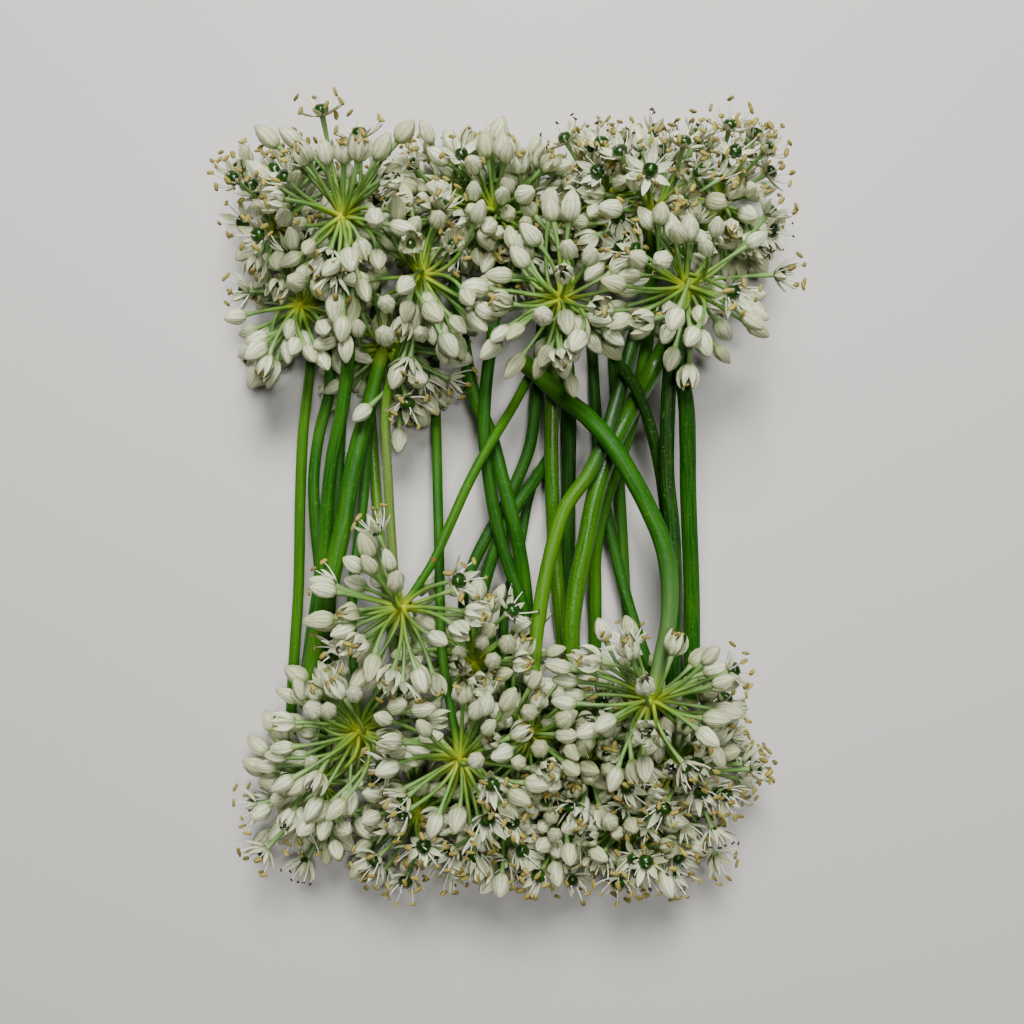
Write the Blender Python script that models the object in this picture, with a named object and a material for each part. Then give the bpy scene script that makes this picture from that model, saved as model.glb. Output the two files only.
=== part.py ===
"""Garlic chive flowers: a bunch of cut stalks lying flat, with white flower heads at both ends.

Each flower is a green scape and an umbel. The scapes are laid one on another, the lowest first.
The umbel's hub sends a pedicel out of each of its faces, and a bud or an open flower ends it.
Lengths are in millimetres until a mesh is made, and +Y is where the northern heads lie.
"""

import math
import random

import bmesh
import bpy
import numpy as np
from mathutils import Matrix, Vector

MM = 0.001
NAME = "chive_flower_bunch"

# The bunch
GAP = 0.35  # air between two pieces that touch
CENTRE = (-1.65, 0.58)  # middle of the bunch in the plan that the routes are read in
WALL_X = (-58.0, 56.0)  # how far out the florets stand, squeezed by what the bunch was laid in
WALL_Y = (-80.0, 82.0)

# The scapes
CURVE_STEPS = 12  # between two points of a route
ROUTE_SAMPLES = 60
SCAPE_POINTS = 12
SETTLING_ROUNDS = 60  # lifts of a scape where it still dips into those below it
SETTLED = 0.02  # a dip that is left as it is
SIDE_DISTANCE = 0.87  # from a scape's middle to its flat sides, as a share of its radius
TOP_WIDTH = 0.72  # a scape just under its head, as a share of its full width
TAPER_LENGTH = 0.3  # share of the scape that this narrowing takes
REST_SINK = 0.1  # how deep the resting scape's level underside is cut into it
REST_LENGTH = 20.0

# The umbels
HUB_RADIUS = 1.9
HUB_FACE_DISTANCE = 0.795 * HUB_RADIUS  # from an icosahedron's middle to its faces
NECK_REACH = 5.6  # from the middle of the hub to where its neck meets the scape
NECK_RADIUS = 1.05
PEDICEL_RADIUS = 0.56
PEDICEL_BEND = 0.4  # share of its reach that a pedicel runs square to the hub before it bends
PEDICEL_MIDDLE = 0.45  # share of the pedicel at which its middle station stands
BUD_LENGTH = 7.0
BUD_RADIUS = 2.4
BUD_BELLY = 0.42 * BUD_LENGTH  # from a bud's base to where it is widest
FLOWER_RADIUS = 5.5
FLOWER_NOTCH = 2.1
FLOWER_RISE = 1.5  # how far the petal tips stand forward of the flower's base
OVARY_HEIGHT = 2.5
SPREAD = 20.0  # how far a floret may turn from its face of the hub, in degrees
REACH = (13.5, 17.5)  # from the middle of the hub to the middle of a floret
SHOWN_TRIES = 40  # places tried for a floret that shows, each this much further off
SHOWN_STEP = 0.09
FREE_TRIES = 80  # places tried for any other floret, each this much further out and nearer the hub
FREE_STEP = 0.3
REACH_STEP = 0.05
BLOOM_OUTWARD = 1.6  # open flowers are more likely on the side away from the stalks
BLOOM_INWARD = 0.4
HUB_CLEARANCE = 4.6  # nearer than this to the hub, its own florets stand close together
GROUND_CLEARANCE = 0.05
LIFTING_ROUNDS = 12  # lifts of a floret that would reach below the ground
OPEN_SKY = 38.0  # a hub that shows keeps this angle round the vertical free of its own florets


def flower(name, route, width, head, opened, shows=False, buds=(), blooms=()):
    """One flower. The route runs in plan from the head to the cut end, and head is the height
    of the hub. Buds and blooms that show are given by their places from the hub."""
    return {
        "name": name, "route": route, "width": width, "head": head, "opened": opened,
        "shows": shows, "buds": list(buds), "blooms": list(blooms),
    }


# All flowers, the lowest first. N heads lie to the north and S heads to the south.
FLOWERS = [
    flower("S01", [(10, -69), (2, -47), (-2, -25), (1, -12), (4, 4), (6, 10)], 2.1, 9, 0.6,
           buds=[(-1, 1, 16), (3, 11, 16)], blooms=[(3, -11, 7), (-1, 10, 14)]),
    flower("S02", [(-21, -67), (-24, -47), (-27, -29), (-30, -6), (-32, 17), (-33, 30)], 2.3, 9, 0.5),
    flower("S03", [(-43, -61), (-42, -42), (-41, -20), (-40, 0), (-39, 25)], 2.2, 9, 0.3,
           buds=[(-9, -10, 2), (5, -11, 2)], blooms=[(-3, -17, 0)]),
    flower("N01", [(-19, 50), (-23, 37), (-27, 24), (-27, 7), (-26, -17), (-26, -31)], 2.1, 24, 0.3,
           shows=True, blooms=[(2, 12, 8)],
           buds=[(10, -7, 14), (3, -10, 15), (-2, -5, 16), (-1, 3, 17), (0, 6, 14), (4, 9, 12),
                 (7, 6, 12), (12, 11, 8)]),
    flower("S04", [(-8, -33), (-11, -21), (-8, -10), (-1, 3), (4, 15), (6, 31), (7, 44)], 2.7, 12, 0.2,
           buds=[(4, 2, 16), (3, 8, 14), (4, 6, 16), (7, 5, 13), (10, 2, 10), (8, 0, 15),
                 (1, -3, 16), (-3, 1, 16)]),
    flower("S05", [(-2, -68), (-1, -46), (-3, -34), (-7, -22), (-5, -12), (-1, -2), (5, 7), (8.6, 12.6)],
           2.7, 9, 0.7, blooms=[(2, 3, 17), (4, -4, 13)]),
    flower("N02", [(2, 64), (11, 41), (13, 25), (13, 8), (13, -13), (14, -25)], 3.2, 9, 0.3),
    flower("S06", [(25, -69), (28, -42), (26, -24), (25, -3), (24, 17), (23, 38)], 2.3, 10, 0.7,
           blooms=[(0, -11, 4)]),
    flower("S07", [(36, -56), (33, -42), (27, -24), (23, -8), (20, 10), (18, 43)], 2.5, 13, 0.7,
           blooms=[(2, 4, 17), (16, 1, 7), (-5, -5, 15), (7, -12, 9), (9, -20, 0), (-7, -12, 9),
                   (-3, -19, 1)]),
    flower("N03", [(-52, 63), (-45, 47), (-40, 32), (-43, 16), (-44, 3), (-42, -22), (-42, -41)],
           2.5, 12, 0.5, buds=[(4, 1, 14), (-3, -10, 8)],
           blooms=[(-4, 7, 8), (-7, 1, 9), (-1, -5, 14)]),
    flower("S08", [(-33, -47), (-34, -36), (-35, -19), (-33, 3), (-32, 25), (-31, 56)], 2.2, 20, 0.15,
           shows=True,
           buds=[(-4, 7, 16), (-8, 6, 10), (1, 10, 14), (-2, 9, 13), (-8, 10, 8), (-12, 9, 2),
                 (-14, 8, -4), (-12, -1, -6), (-17, -5, 2), (-20, -8, -2), (-20, -12, -6),
                 (-14, -9, 10), (-14, -17, -2), (-3, -14, 10), (-7, -16, 4), (0, -20, 2),
                 (5, -19, -4)]),
    flower("N04", [(21, 70), (15, 60), (10, 45), (9, 25), (9, 8), (10, -13), (12, -32)], 3.2, 12, 0.8,
           blooms=[(-4, 8, 9), (-3, 1, 15), (3, -6, 15), (3, -12, 13), (4, 12, 6)]),
    flower("N05", [(-14, 68), (-12, 47), (-9, 28), (-5, 18), (-2, 7), (2, -10), (4, -29), (5, -43)],
           3.1, 10, 0.6, blooms=[(3, 7, 14), (-7, 6, 11)]),
    flower("N06", [(30, 64), (30, 42), (27, 22), (23, 9), (19, -6), (19, -23), (19, -38)], 2.9, 20, 0.5,
           buds=[(-3, 15, 2), (-5, 3, 14)], blooms=[(1, 11, 8)]),
    flower("N07", [(-4, 66), (-3, 51), (-6, 23), (-5, 7), (-2, -8), (3, -23), (4, -40)], 2.7, 14, 0.3,
           buds=[(-4, 6, 14), (2, 10, 12), (-6, -1, 14), (2, -1, 17), (10, -1, 12)]),
    flower("N08", [(-35, 61), (-34, 47), (-35, 28), (-39, 9), (-42, -15), (-45, -31), (-48, -44)],
           2.8, 30, 0.2, shows=True, blooms=[(-4, 21, 2), (2, 18, 6), (-1, -8, -13)],
           buds=[(-15, 16, 0), (-9, 14, 6), (-2, 10, 10), (5, 10, 12), (13, 16, 4), (-16, 8, 3),
                 (-5, -9, 12), (3, -11, 12), (8, -3, 12), (-10, 0, -6), (-1, -12, 8),
                 (8, -10, 6)]),
    flower("N09", [(-46, 45), (-44, 35), (-46, 18), (-47, 3), (-48, -20), (-51, -54)], 2.4, 16, 0.2,
           shows=True, blooms=[(-14, 3, 0)],
           buds=[(2, 2, 16), (-12, -5, -4), (-8, -8, 6), (-12, -10, -8), (-9, -14, -7), (-5, -11, -2),
                 (-1, -12, -6), (4, -12, 12), (7, -7, 14)]),
    flower("S09", [(17, -55), (14, -39), (13, -24), (16, -7), (19, 7), (24, 19), (35, 39)], 3.9, 13, 0.5,
           buds=[(-3, 6, 16)]),
    flower("S10", [(4, -49), (5, -30), (7, -15), (10, -3), (13, 4), (19, 13), (27, 40)], 3.1, 15, 0.3,
           buds=[(7, 3, 15), (-2, 9, 15), (1, 14, 13), (1, 17, 9), (4, 8, 16)], blooms=[(3, 2, 16)]),
    flower("S11", [(-11, -52), (-15, -31), (-16, -11), (-17, 16), (-18, 40)], 2.2, 24, 0.4, shows=True,
           buds=[(1, 15, 10), (4, 3, 17), (-14, 0, 10), (-13, 6, 14), (-15, 10, 10), (10, 13, 8)],
           blooms=[(6, -2, 15), (-12, -6, 8), (-9, -20, -2), (3, -21, -2)]),
    flower("N10", [(-28, 37), (-31, 24), (-34, 12), (-37, -5), (-41, -22), (-46, -43)], 4.0, 14, 0.4,
           shows=True, blooms=[(4, -12, 8), (11, -8, 4)],
           buds=[(-7, 5, 14), (-11, 3, 11), (-6, -1, 13), (2, 6, 15), (6, 3, 14), (2, -1, 17),
                 (-12, 10, 10), (-2, -18, 7), (2, -20, 4)]),
    flower("S12", [(-23, -20), (-17, -11), (-13, -2), (-8, 9), (0, 23), (5, 33)], 2.1, 26, 0.2,
           shows=True, blooms=[(1, -15, 4)],
           buds=[(-16, 5, 2), (-10, 9, 0), (-2, 10, 8), (0, 6, 15), (-15, -3, 4), (8, -5, 14),
                 (12, -3, 12), (15, -1, 4), (7, -16, 0), (-11, -7, 8)]),
    flower("N11", [(10, 44), (18, 36), (26, 27), (31, 14), (34, -2), (37, -29), (39, -41)], 2.6, 30, 0.1,
           shows=True,
           buds=[(-12, 4, 4), (-12, -2, 8), (0, 2, 16), (1, 7, 14), (7, -4, 14), (-4, -6, 15),
                 (-14, -10, 0), (-9, -13, -2), (-3, -12, 3), (3, -10, 11), (-6, 12, 4),
                 (-10, 13, -3), (2, 18, 1), (-2, 20, -3), (-7, 20, -6)]),
    flower("N12", [(46, 68), (38, 53), (34, 37), (33, 11), (35, -10), (35, -46)], 3.1, 12, 0.8,
           buds=[(0, -1, 17), (-9, 3, 15)], blooms=[(1, 8, 12), (9, 6, 8), (-6, 12, 6), (-9, -2, 14)]),
    flower("N13", [(36, 47), (35, 34), (37, 20), (38, 4), (40, -20), (41, -43)], 3.5, 28, 0.25,
           shows=True, blooms=[(17, 15, 2), (19, 2, 2), (8, -3, 12)],
           buds=[(16, -8, -6), (9, -13, -8), (-15, -1, 8), (-18, -6, 4), (-14, -9, 9), (-10, -9, 13),
                 (-4, -9, 15), (-11, 3, 12), (-7, 2, 15), (2, 5, 14), (-3, 8, 12), (-6, 13, 8),
                 (5, 10, 9), (0, -12, 10)]),
    flower("S13", [(29, -39), (31, -30), (33, -20), (32, -8), (27, 4), (19, 17), (12, 24), (2, 34)],
           3.8, 28, 0.15, shows=True,
           buds=[(-19, 7, 2), (-18, 0, 4), (-13, 9, 6), (-10, 14, -1), (-4, 14, 2), (4, 12, 6),
                 (-3, 5, 16), (13, 6, 0), (18, -3, -4), (12, -3, 6), (-3, -4, 16), (15, -10, -1),
                 (-4, -20, -4), (-4, -14, 4)]),
]
RESTING = "N02"  # the scape whose underside is flat
SKY = -1  # marks the balls that keep the view of a hub clear
STALK = -2  # marks the balls along a scape


def smooth_route(points, count):
    """Evenly spaced points on a smooth curve through the given ones."""
    ends = [2 * np.array(points[0]) - points[1], 2 * np.array(points[-1]) - points[-2]]
    line = np.vstack([ends[0], points, ends[1]]).astype(float)
    curve = []
    for before, start, end, after in zip(line, line[1:], line[2:], line[3:]):
        for t in np.linspace(0, 1, CURVE_STEPS, endpoint=False):
            square = 2 * before - 5 * start + 4 * end - after
            cube = 3 * start - before - 3 * end + after
            curve.append(0.5 * (2 * start + (end - before) * t + square * t**2 + cube * t**3))
    curve.append(line[-2])
    return spaced(np.array(curve), count)


def along(line):
    """How far along the line each of its points is."""
    steps = np.linalg.norm(np.diff(line, axis=0), axis=1)
    return np.concatenate([[0.0], np.cumsum(steps)])


def spaced(line, count):
    run = along(line)
    places = np.linspace(0, run[-1], count)
    return np.column_stack([np.interp(places, run, axis) for axis in line.T])


def taut(run, heights):
    """The lowest line over the heights that sags nowhere, like a stiff stalk on its supports."""
    kept = []
    for place, height in zip(run, heights):
        while len(kept) > 1:
            (x0, z0), (x1, z1) = kept[-2:]
            if (z1 - z0) * (place - x0) > (height - z0) * (x1 - x0):
                break
            kept.pop()
        kept.append((place, height))
    return np.interp(run, *zip(*kept))


def over(plan, radius, laid):
    """The least height of each plan point that clears the scapes already laid, and the ground."""
    least = np.full(len(plan), SIDE_DISTANCE * radius)
    for other, other_radius in laid:
        apart = np.linalg.norm(plan[:, None, :2] - other[None, :, :2], axis=2)
        reach = radius + other_radius + GAP
        lift = other[:, 2] + np.sqrt(np.maximum(reach**2 - apart**2, 0))
        least = np.maximum(least, np.where(apart < reach, lift, 0).max(axis=1))
    return least


def lay_scape(one, laid):
    """The scape's centre line from the middle of the hub to the cut end, over those below it."""
    radius = one["width"] / 2
    plan = smooth_route(one["route"], ROUTE_SAMPLES)
    need = over(plan, radius, laid)
    need[0] = max(need[0], one["head"])
    run = along(plan)
    if one["name"] == RESTING:
        level = run > run[-1] - REST_LENGTH
        need[level] = SIDE_DISTANCE * radius - REST_SINK
        rise = taut(run[~level], np.append(need[~level][:-1], need[-1]))
        heights = np.append(rise, need[level])
        return spaced(np.column_stack([plan, heights]), SCAPE_POINTS)
    line = spaced(np.column_stack([plan, taut(run, need)]), SCAPE_POINTS)
    for _ in range(SETTLING_ROUNDS):
        fine = spaced(line, ROUTE_SAMPLES)
        short = over(fine, radius, laid) - fine[:, 2]
        if short.max() < SETTLED:
            break
        worst = along(fine)[short.argmax()]
        near = np.abs(along(line) - worst) < 1.5 * along(line)[1]
        line[near, 2] += 0.5 * short.max() + SETTLED
    return line


def step_down(line):
    """The way the scape leaves its hub."""
    return (line[1] - line[0]) / np.linalg.norm(line[1] - line[0])


def hub_of(line, turn):
    """The umbel's hub round its middle, with one face square to the scape, which is the first."""
    hub = bmesh.new()
    bmesh.ops.create_icosphere(hub, subdivisions=1, radius=HUB_RADIUS)
    hub.faces.ensure_lookup_table()
    down = Vector(step_down(line))
    swing = hub.faces[0].normal.rotation_difference(down).to_matrix()
    spin = Matrix.Rotation(turn, 3, down)
    bmesh.ops.rotate(hub, verts=hub.verts, cent=(0, 0, 0), matrix=spin @ swing)
    hub.normal_update()
    return hub


class Crowd:
    """Balls that stand for all that is in place, so that what comes next keeps clear of it."""

    def __init__(self):
        self.balls = np.empty((0, 5))

    def add(self, points, radii, owner):
        rows = np.column_stack([points, radii, np.full(len(points), owner)])
        self.balls = np.vstack([self.balls, rows])

    def free(self, points, radii, owner, hub, shown):
        """Whether balls at these points touch none in place. Near its hub a floret meets its own."""
        centre = points.mean(axis=0)
        balls = self.balls[np.abs(self.balls[:, :3] - centre).max(axis=1) < 20]
        if shown:
            balls = balls[balls[:, 4] != SKY]
        apart = np.linalg.norm(points[:, None] - balls[None, :, :3], axis=2)
        hit = apart < radii[:, None] + balls[:, 3] + GAP
        at_hub = np.linalg.norm(points - hub, axis=1) < HUB_CLEARANCE
        hit &= ~(at_hub[:, None] & (balls[:, 4] == owner))
        return not hit.any()


def floret_at(root, normal, centre, kind):
    """A floret from its face of the hub to its centre: stations of the pedicel, and its axis."""
    root, normal, centre = Vector(root), Vector(normal), Vector(centre)
    back, wide, belly, tip = {
        "bud": (0.45 * BUD_LENGTH, BUD_RADIUS, BUD_BELLY, BUD_LENGTH),
        "bloom": (1.0, FLOWER_RADIUS, FLOWER_RISE, OVARY_HEIGHT),
    }[kind]
    share = PEDICEL_MIDDLE
    for _ in range(LIFTING_ROUNDS):
        bend = root + normal * PEDICEL_BEND * (centre - root).length
        axis = (centre - bend).normalized()
        base = centre - axis * back
        middle = root * (1 - share) ** 2 + bend * 2 * share * (1 - share) + base * share**2
        lowest = min(
            base.z - PEDICEL_RADIUS, middle.z - PEDICEL_RADIUS, base.z + tip * axis.z,
            base.z + belly * axis.z - wide * math.sqrt(1 - axis.z**2))
        if lowest > GROUND_CLEARANCE:
            break
        centre.z += GROUND_CLEARANCE - lowest + 0.02
    return {"kind": kind, "root": root, "middle": middle, "base": base, "axis": axis,
            "lowest": lowest}


def balls_of(floret):
    """Balls that fill a floret: its pedicel, and its bud or the disc of its petals."""
    root, middle, base = (np.array(floret[key]) for key in ("root", "middle", "base"))
    axis = np.array(floret["axis"])
    share = np.linspace(0, 1, 7)[:, None]
    points = [root + (middle - root) * share, middle + (base - middle) * share]
    radii = [1.0 + (PEDICEL_RADIUS - 1.0) * share.ravel(), np.full(7, PEDICEL_RADIUS)]
    if floret["kind"] == "bud":
        places = np.array([0.2, 0.42, 0.66, 0.9])[:, None]
        points.append(base + axis * BUD_LENGTH * places)
        radii.append(BUD_RADIUS * np.array([0.65, 1.0, 0.65, 0.25]))
    else:
        side = np.array(Vector(axis).orthogonal().normalized())
        across = np.cross(axis, side)
        turn = np.arange(12)[:, None] * math.tau / 12
        rim = np.cos(turn) * side + np.sin(turn) * across
        points.append(base + axis * 1.2 + rim * (FLOWER_RADIUS - 0.9))
        points.append(base + axis * 1.1 + rim[::2] * 2.2)
        radii += [np.full(12, 0.8), np.full(6, 1.3)]
    return np.vstack(points), np.concatenate(radii)


def put(crowd, head, face, kind, aims, shown):
    """Puts a floret on a face of the hub at the first of its aims that is clear."""
    for aim in aims:
        aim = np.clip(aim, (WALL_X[0], WALL_Y[0], 0), (WALL_X[1], WALL_Y[1], 60))
        floret = floret_at(head["roots"][face], head["normals"][face], aim, kind)
        points, radii = balls_of(floret)
        if floret["lowest"] > 0 and crowd.free(points, radii, head["owner"], head["centre"], shown):
            crowd.add(points, radii, head["owner"])
            head["florets"][face] = floret
            return True
    return False


def shown_aims(draw, centre, wished):
    """The place that is wished for a floret that shows, then places ever further from it."""
    for attempt in range(SHOWN_TRIES):
        off = SHOWN_STEP * attempt
        shift = [draw.uniform(-off, off), draw.uniform(-off, off), draw.uniform(-2 * off, off)]
        yield centre + wished + shift


def free_aims(draw, head, face):
    """Places for a floret round its face's own direction, nearer the hub where it is crowded."""
    normal = head["normals"][face]
    for attempt in range(FREE_TRIES):
        side = normal.orthogonal().normalized()
        furthest = SPREAD + FREE_STEP * attempt
        lean = Matrix.Rotation(math.radians(draw.uniform(0, furthest)), 3, side)
        roll = Matrix.Rotation(draw.uniform(0, math.tau), 3, normal)
        way = roll @ lean @ normal
        reach = draw.uniform(REACH[0] - REACH_STEP * attempt, REACH[1])
        if head["shows"] and way.z > math.cos(math.radians(OPEN_SKY)):
            continue
        yield head["centre"] + np.array(way) * reach


def place_florets(flowers, lines):
    """All umbels with their florets, those that show first and the highest heads before the rest."""
    crowd = Crowd()
    heads = []
    for owner, (one, line) in enumerate(zip(flowers, lines)):
        draw = random.Random(100 + owner)
        hub = hub_of(line, draw.uniform(0, math.tau))
        normals = [face.normal.copy() for face in hub.faces]
        centre = line[0]
        heads.append({
            "owner": owner, "one": one, "centre": centre, "hub": hub, "normals": normals,
            "roots": [Vector(centre) + normal * HUB_FACE_DISTANCE for normal in normals],
            "shows": one["shows"], "florets": {}, "draw": draw,
        })
        fine = spaced(line, int(along(line)[-1]))[int(NECK_REACH):]
        crowd.add(fine, np.full(len(fine), one["width"] / 2), STALK)
        neck = centre + step_down(line) * np.array([[0.0], [2.0], [3.5], [5.0]])
        crowd.add(neck, [HUB_RADIUS + 0.4, NECK_RADIUS, NECK_RADIUS, NECK_RADIUS], owner)
        if one["shows"]:
            sky = centre + np.array([[0, 0, 7], [0, 0, 12], [0, 0, 18], [0, 0, 24]])
            crowd.add(sky, np.full(4, 3.5), SKY)
    highest = sorted(heads, key=lambda head: -head["centre"][2])
    for head in highest:
        wishes = [("bud", place) for place in head["one"]["buds"]]
        wishes += [("bloom", place) for place in head["one"]["blooms"]]
        for kind, place in wishes:
            way = Vector(place).normalized()
            spare = [face for face in range(1, 20) if face not in head["florets"]]
            spare.sort(key=lambda face: -head["normals"][face].dot(way))
            for face in spare[:3]:
                if put(crowd, head, face, kind, shown_aims(head["draw"], head["centre"], place), True):
                    break
    for head in highest:
        outward = math.copysign(1, head["centre"][1])
        for face in range(1, 20):
            if face in head["florets"]:
                continue
            leans_out = head["normals"][face].y * outward
            chance = head["one"]["opened"] * (BLOOM_OUTWARD if leans_out > 0.1 else BLOOM_INWARD)
            kind = "bloom" if head["draw"].random() < chance else "bud"
            aims = free_aims(head["draw"], head, face)
            if not put(crowd, head, face, kind, aims, False) and kind == "bloom":
                put(crowd, head, face, "bud", free_aims(head["draw"], head, face), False)
    return heads


def ring(mesh, centre, axis, side, radii, rises):
    """Vertices round an axis, the first of them to the given side."""
    across = axis.cross(side)
    verts = []
    for step in range(len(radii)):
        turn = math.tau * step / len(radii)
        out = side * math.cos(turn) + across * math.sin(turn)
        verts.append(mesh.verts.new(centre + out * radii[step] + axis * rises[step]))
    return verts


def loft(mesh, inner, outer):
    """Triangles from a ring of three to a ring of as many points or a multiple of them."""
    share = len(outer) // len(inner)
    half = share // 2
    for step in range(len(inner)):
        start, end = inner[step], inner[(step + 1) % len(inner)]
        rim = [outer[(step * share + place) % len(outer)] for place in range(share + 1)]
        for place in range(share):
            corner = start if place < half else end
            mesh.faces.new((corner, rim[place + 1], rim[place]))
        mesh.faces.new((start, end, rim[half]))


def close_with_point(mesh, rim, point):
    tip = mesh.verts.new(point)
    for step in range(len(rim)):
        mesh.faces.new((rim[step], rim[(step + 1) % len(rim)], tip))


def grow_floret(mesh, face, floret, hub_centre):
    """Grows a pedicel out of a face of the hub, with a bud or an open flower on its end."""
    root, middle, base = (floret[key] - hub_centre for key in ("root", "middle", "base"))
    rim = list(face.verts)
    side = (rim[0].co - root).normalized()
    way = face.normal.copy()
    mesh.faces.remove(face)
    for centre, onward in ((middle, (base - root).normalized()), (base, floret["axis"])):
        side = way.rotation_difference(onward).to_matrix() @ side
        way = onward
        further = ring(mesh, centre, way, side, [PEDICEL_RADIUS] * 3, [0] * 3)
        loft(mesh, rim, further)
        rim = further
    if floret["kind"] == "bud":
        belly = ring(mesh, base, way, side, [BUD_RADIUS] * 6, [BUD_BELLY] * 6)
        loft(mesh, rim, belly)
        close_with_point(mesh, belly, base + way * BUD_LENGTH)
    else:
        petals = ring(mesh, base, way, side, [FLOWER_RADIUS, FLOWER_NOTCH] * 6, [FLOWER_RISE, 0.8] * 6)
        loft(mesh, rim, petals)
        close_with_point(mesh, petals, base + way * OVARY_HEIGHT)


def grow_neck(mesh, face):
    """Draws the hub out toward its scape, which meets it clear of the pedicels."""
    way = face.normal.copy()
    rim = list(face.verts)
    side = (rim[0].co - face.calc_center_median()).normalized()
    mesh.faces.remove(face)
    end = ring(mesh, way * NECK_REACH, way, side, [NECK_RADIUS] * 3, [0] * 3)
    loft(mesh, rim, end)
    mesh.faces.new(end)


def build_umbel(head, number, collection, material):
    mesh = head["hub"]
    hub_centre = Vector(head["centre"])
    faces = list(mesh.faces)
    grow_neck(mesh, faces[0])
    for place, floret in head["florets"].items():
        grow_floret(mesh, faces[place], floret, hub_centre)
    bmesh.ops.scale(mesh, vec=(MM, MM, MM), verts=mesh.verts)
    name = f"umbel_{number:02d}"
    data = bpy.data.meshes.new(name)
    mesh.to_mesh(data)
    mesh.free()
    data.materials.append(material)
    umbel = bpy.data.objects.new(name, data)
    umbel.location = in_frame(head["centre"])
    collection.objects.link(umbel)


def in_frame(place):
    """A place in the plan that the routes are read in, as one in the part's own frame."""
    return Vector((place[0] - CENTRE[0], place[1] - CENTRE[1], place[2])) * MM


def build_scape(one, line, number, collection, material):
    """A six-sided stalk from the hub's neck to the cut end, narrower near its head."""
    start = line[0] + step_down(line) * (NECK_REACH + GAP)
    beyond = np.linalg.norm(line - line[0], axis=1) > NECK_REACH + one["width"]
    points = np.vstack([start, line[beyond]])
    name = f"scape_{number:02d}"
    curve = bpy.data.curves.new(name, "CURVE")
    curve.dimensions = "3D"
    curve.twist_mode = "Z_UP"
    curve.bevel_depth = one["width"] / 2 * MM
    curve.bevel_resolution = 1
    curve.use_fill_caps = True
    spline = curve.splines.new("POLY")
    spline.points.add(len(points) - 1)
    for step, place in enumerate(points):
        spline.points[step].co = (*in_frame(place), 1)
        grown = min(1, step / (len(points) - 1) / TAPER_LENGTH)
        spline.points[step].radius = TOP_WIDTH + (1 - TOP_WIDTH) * grown
    curve.materials.append(material)
    scape = bpy.data.objects.new(name, curve)
    collection.objects.link(scape)
    return scape


def flatten_underside(scape, collection):
    """Makes the stalk a mesh and cuts it off level where it reaches below the ground."""
    name = scape.name
    graph = bpy.context.evaluated_depsgraph_get()
    data = bpy.data.meshes.new_from_object(scape.evaluated_get(graph))
    mesh = bmesh.new()
    mesh.from_mesh(data)
    bmesh.ops.remove_doubles(mesh, verts=mesh.verts, dist=1e-6)
    everything = mesh.verts[:] + mesh.edges[:] + mesh.faces[:]
    cut = bmesh.ops.bisect_plane(
        mesh, geom=everything, plane_co=(0, 0, 0), plane_no=(0, 0, -1), clear_outer=True)
    rim = [item for item in cut["geom_cut"] if isinstance(item, bmesh.types.BMEdge)]
    bmesh.ops.holes_fill(mesh, edges=rim)
    mesh.to_mesh(data)
    mesh.free()
    bpy.data.objects.remove(scape)
    flat = bpy.data.objects.new(name, data)
    flat.name = name
    collection.objects.link(flat)


def plain_material(name, colour, roughness):
    material = bpy.data.materials.new(name)
    material.use_nodes = True
    shader = material.node_tree.nodes["Principled BSDF"]
    shader.inputs["Base Color"].default_value = (*colour, 1)
    shader.inputs["Roughness"].default_value = roughness
    material.diffuse_color = (*colour, 1)
    return material


def main():
    for leftover in list(bpy.data.objects):
        bpy.data.objects.remove(leftover)
    collection = bpy.data.collections.new(NAME)
    bpy.context.scene.collection.children.link(collection)
    scape_green = plain_material("scape_green", (0.09, 0.27, 0.03), 0.4)
    petal_white = plain_material("petal_white", (0.82, 0.86, 0.76), 0.55)
    laid = []
    lines = []
    for one in FLOWERS:
        line = lay_scape(one, laid)
        laid.append((spaced(line, ROUTE_SAMPLES), one["width"] / 2))
        lines.append(line)
    heads = place_florets(FLOWERS, lines)
    for number, (one, line) in enumerate(zip(FLOWERS, lines), start=1):
        scape = build_scape(one, line, number, collection, scape_green)
        if one["name"] == RESTING:
            bpy.context.view_layer.update()
            flatten_underside(scape, collection)
    for number, head in enumerate(heads, start=1):
        build_umbel(head, number, collection, petal_white)


main()
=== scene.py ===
# Garlic chive flowers: a bunch of cut stalks lying flat, seen from straight above
import math
import random

import bmesh
import bpy
import numpy as np
from mathutils import Matrix, Quaternion, Vector


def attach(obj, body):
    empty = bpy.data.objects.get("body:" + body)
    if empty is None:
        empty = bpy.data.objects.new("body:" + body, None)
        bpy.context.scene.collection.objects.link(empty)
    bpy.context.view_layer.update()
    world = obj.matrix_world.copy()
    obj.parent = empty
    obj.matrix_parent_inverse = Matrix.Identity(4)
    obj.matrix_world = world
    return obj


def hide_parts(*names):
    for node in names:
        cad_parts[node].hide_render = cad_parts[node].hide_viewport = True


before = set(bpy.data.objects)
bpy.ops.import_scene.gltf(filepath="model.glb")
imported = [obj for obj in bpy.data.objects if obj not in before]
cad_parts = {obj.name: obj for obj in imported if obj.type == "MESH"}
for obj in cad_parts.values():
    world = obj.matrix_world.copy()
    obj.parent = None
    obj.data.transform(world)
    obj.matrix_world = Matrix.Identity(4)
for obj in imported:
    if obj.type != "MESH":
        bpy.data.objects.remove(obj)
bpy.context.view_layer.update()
mm = 0.001
print("frame loaded")

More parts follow.
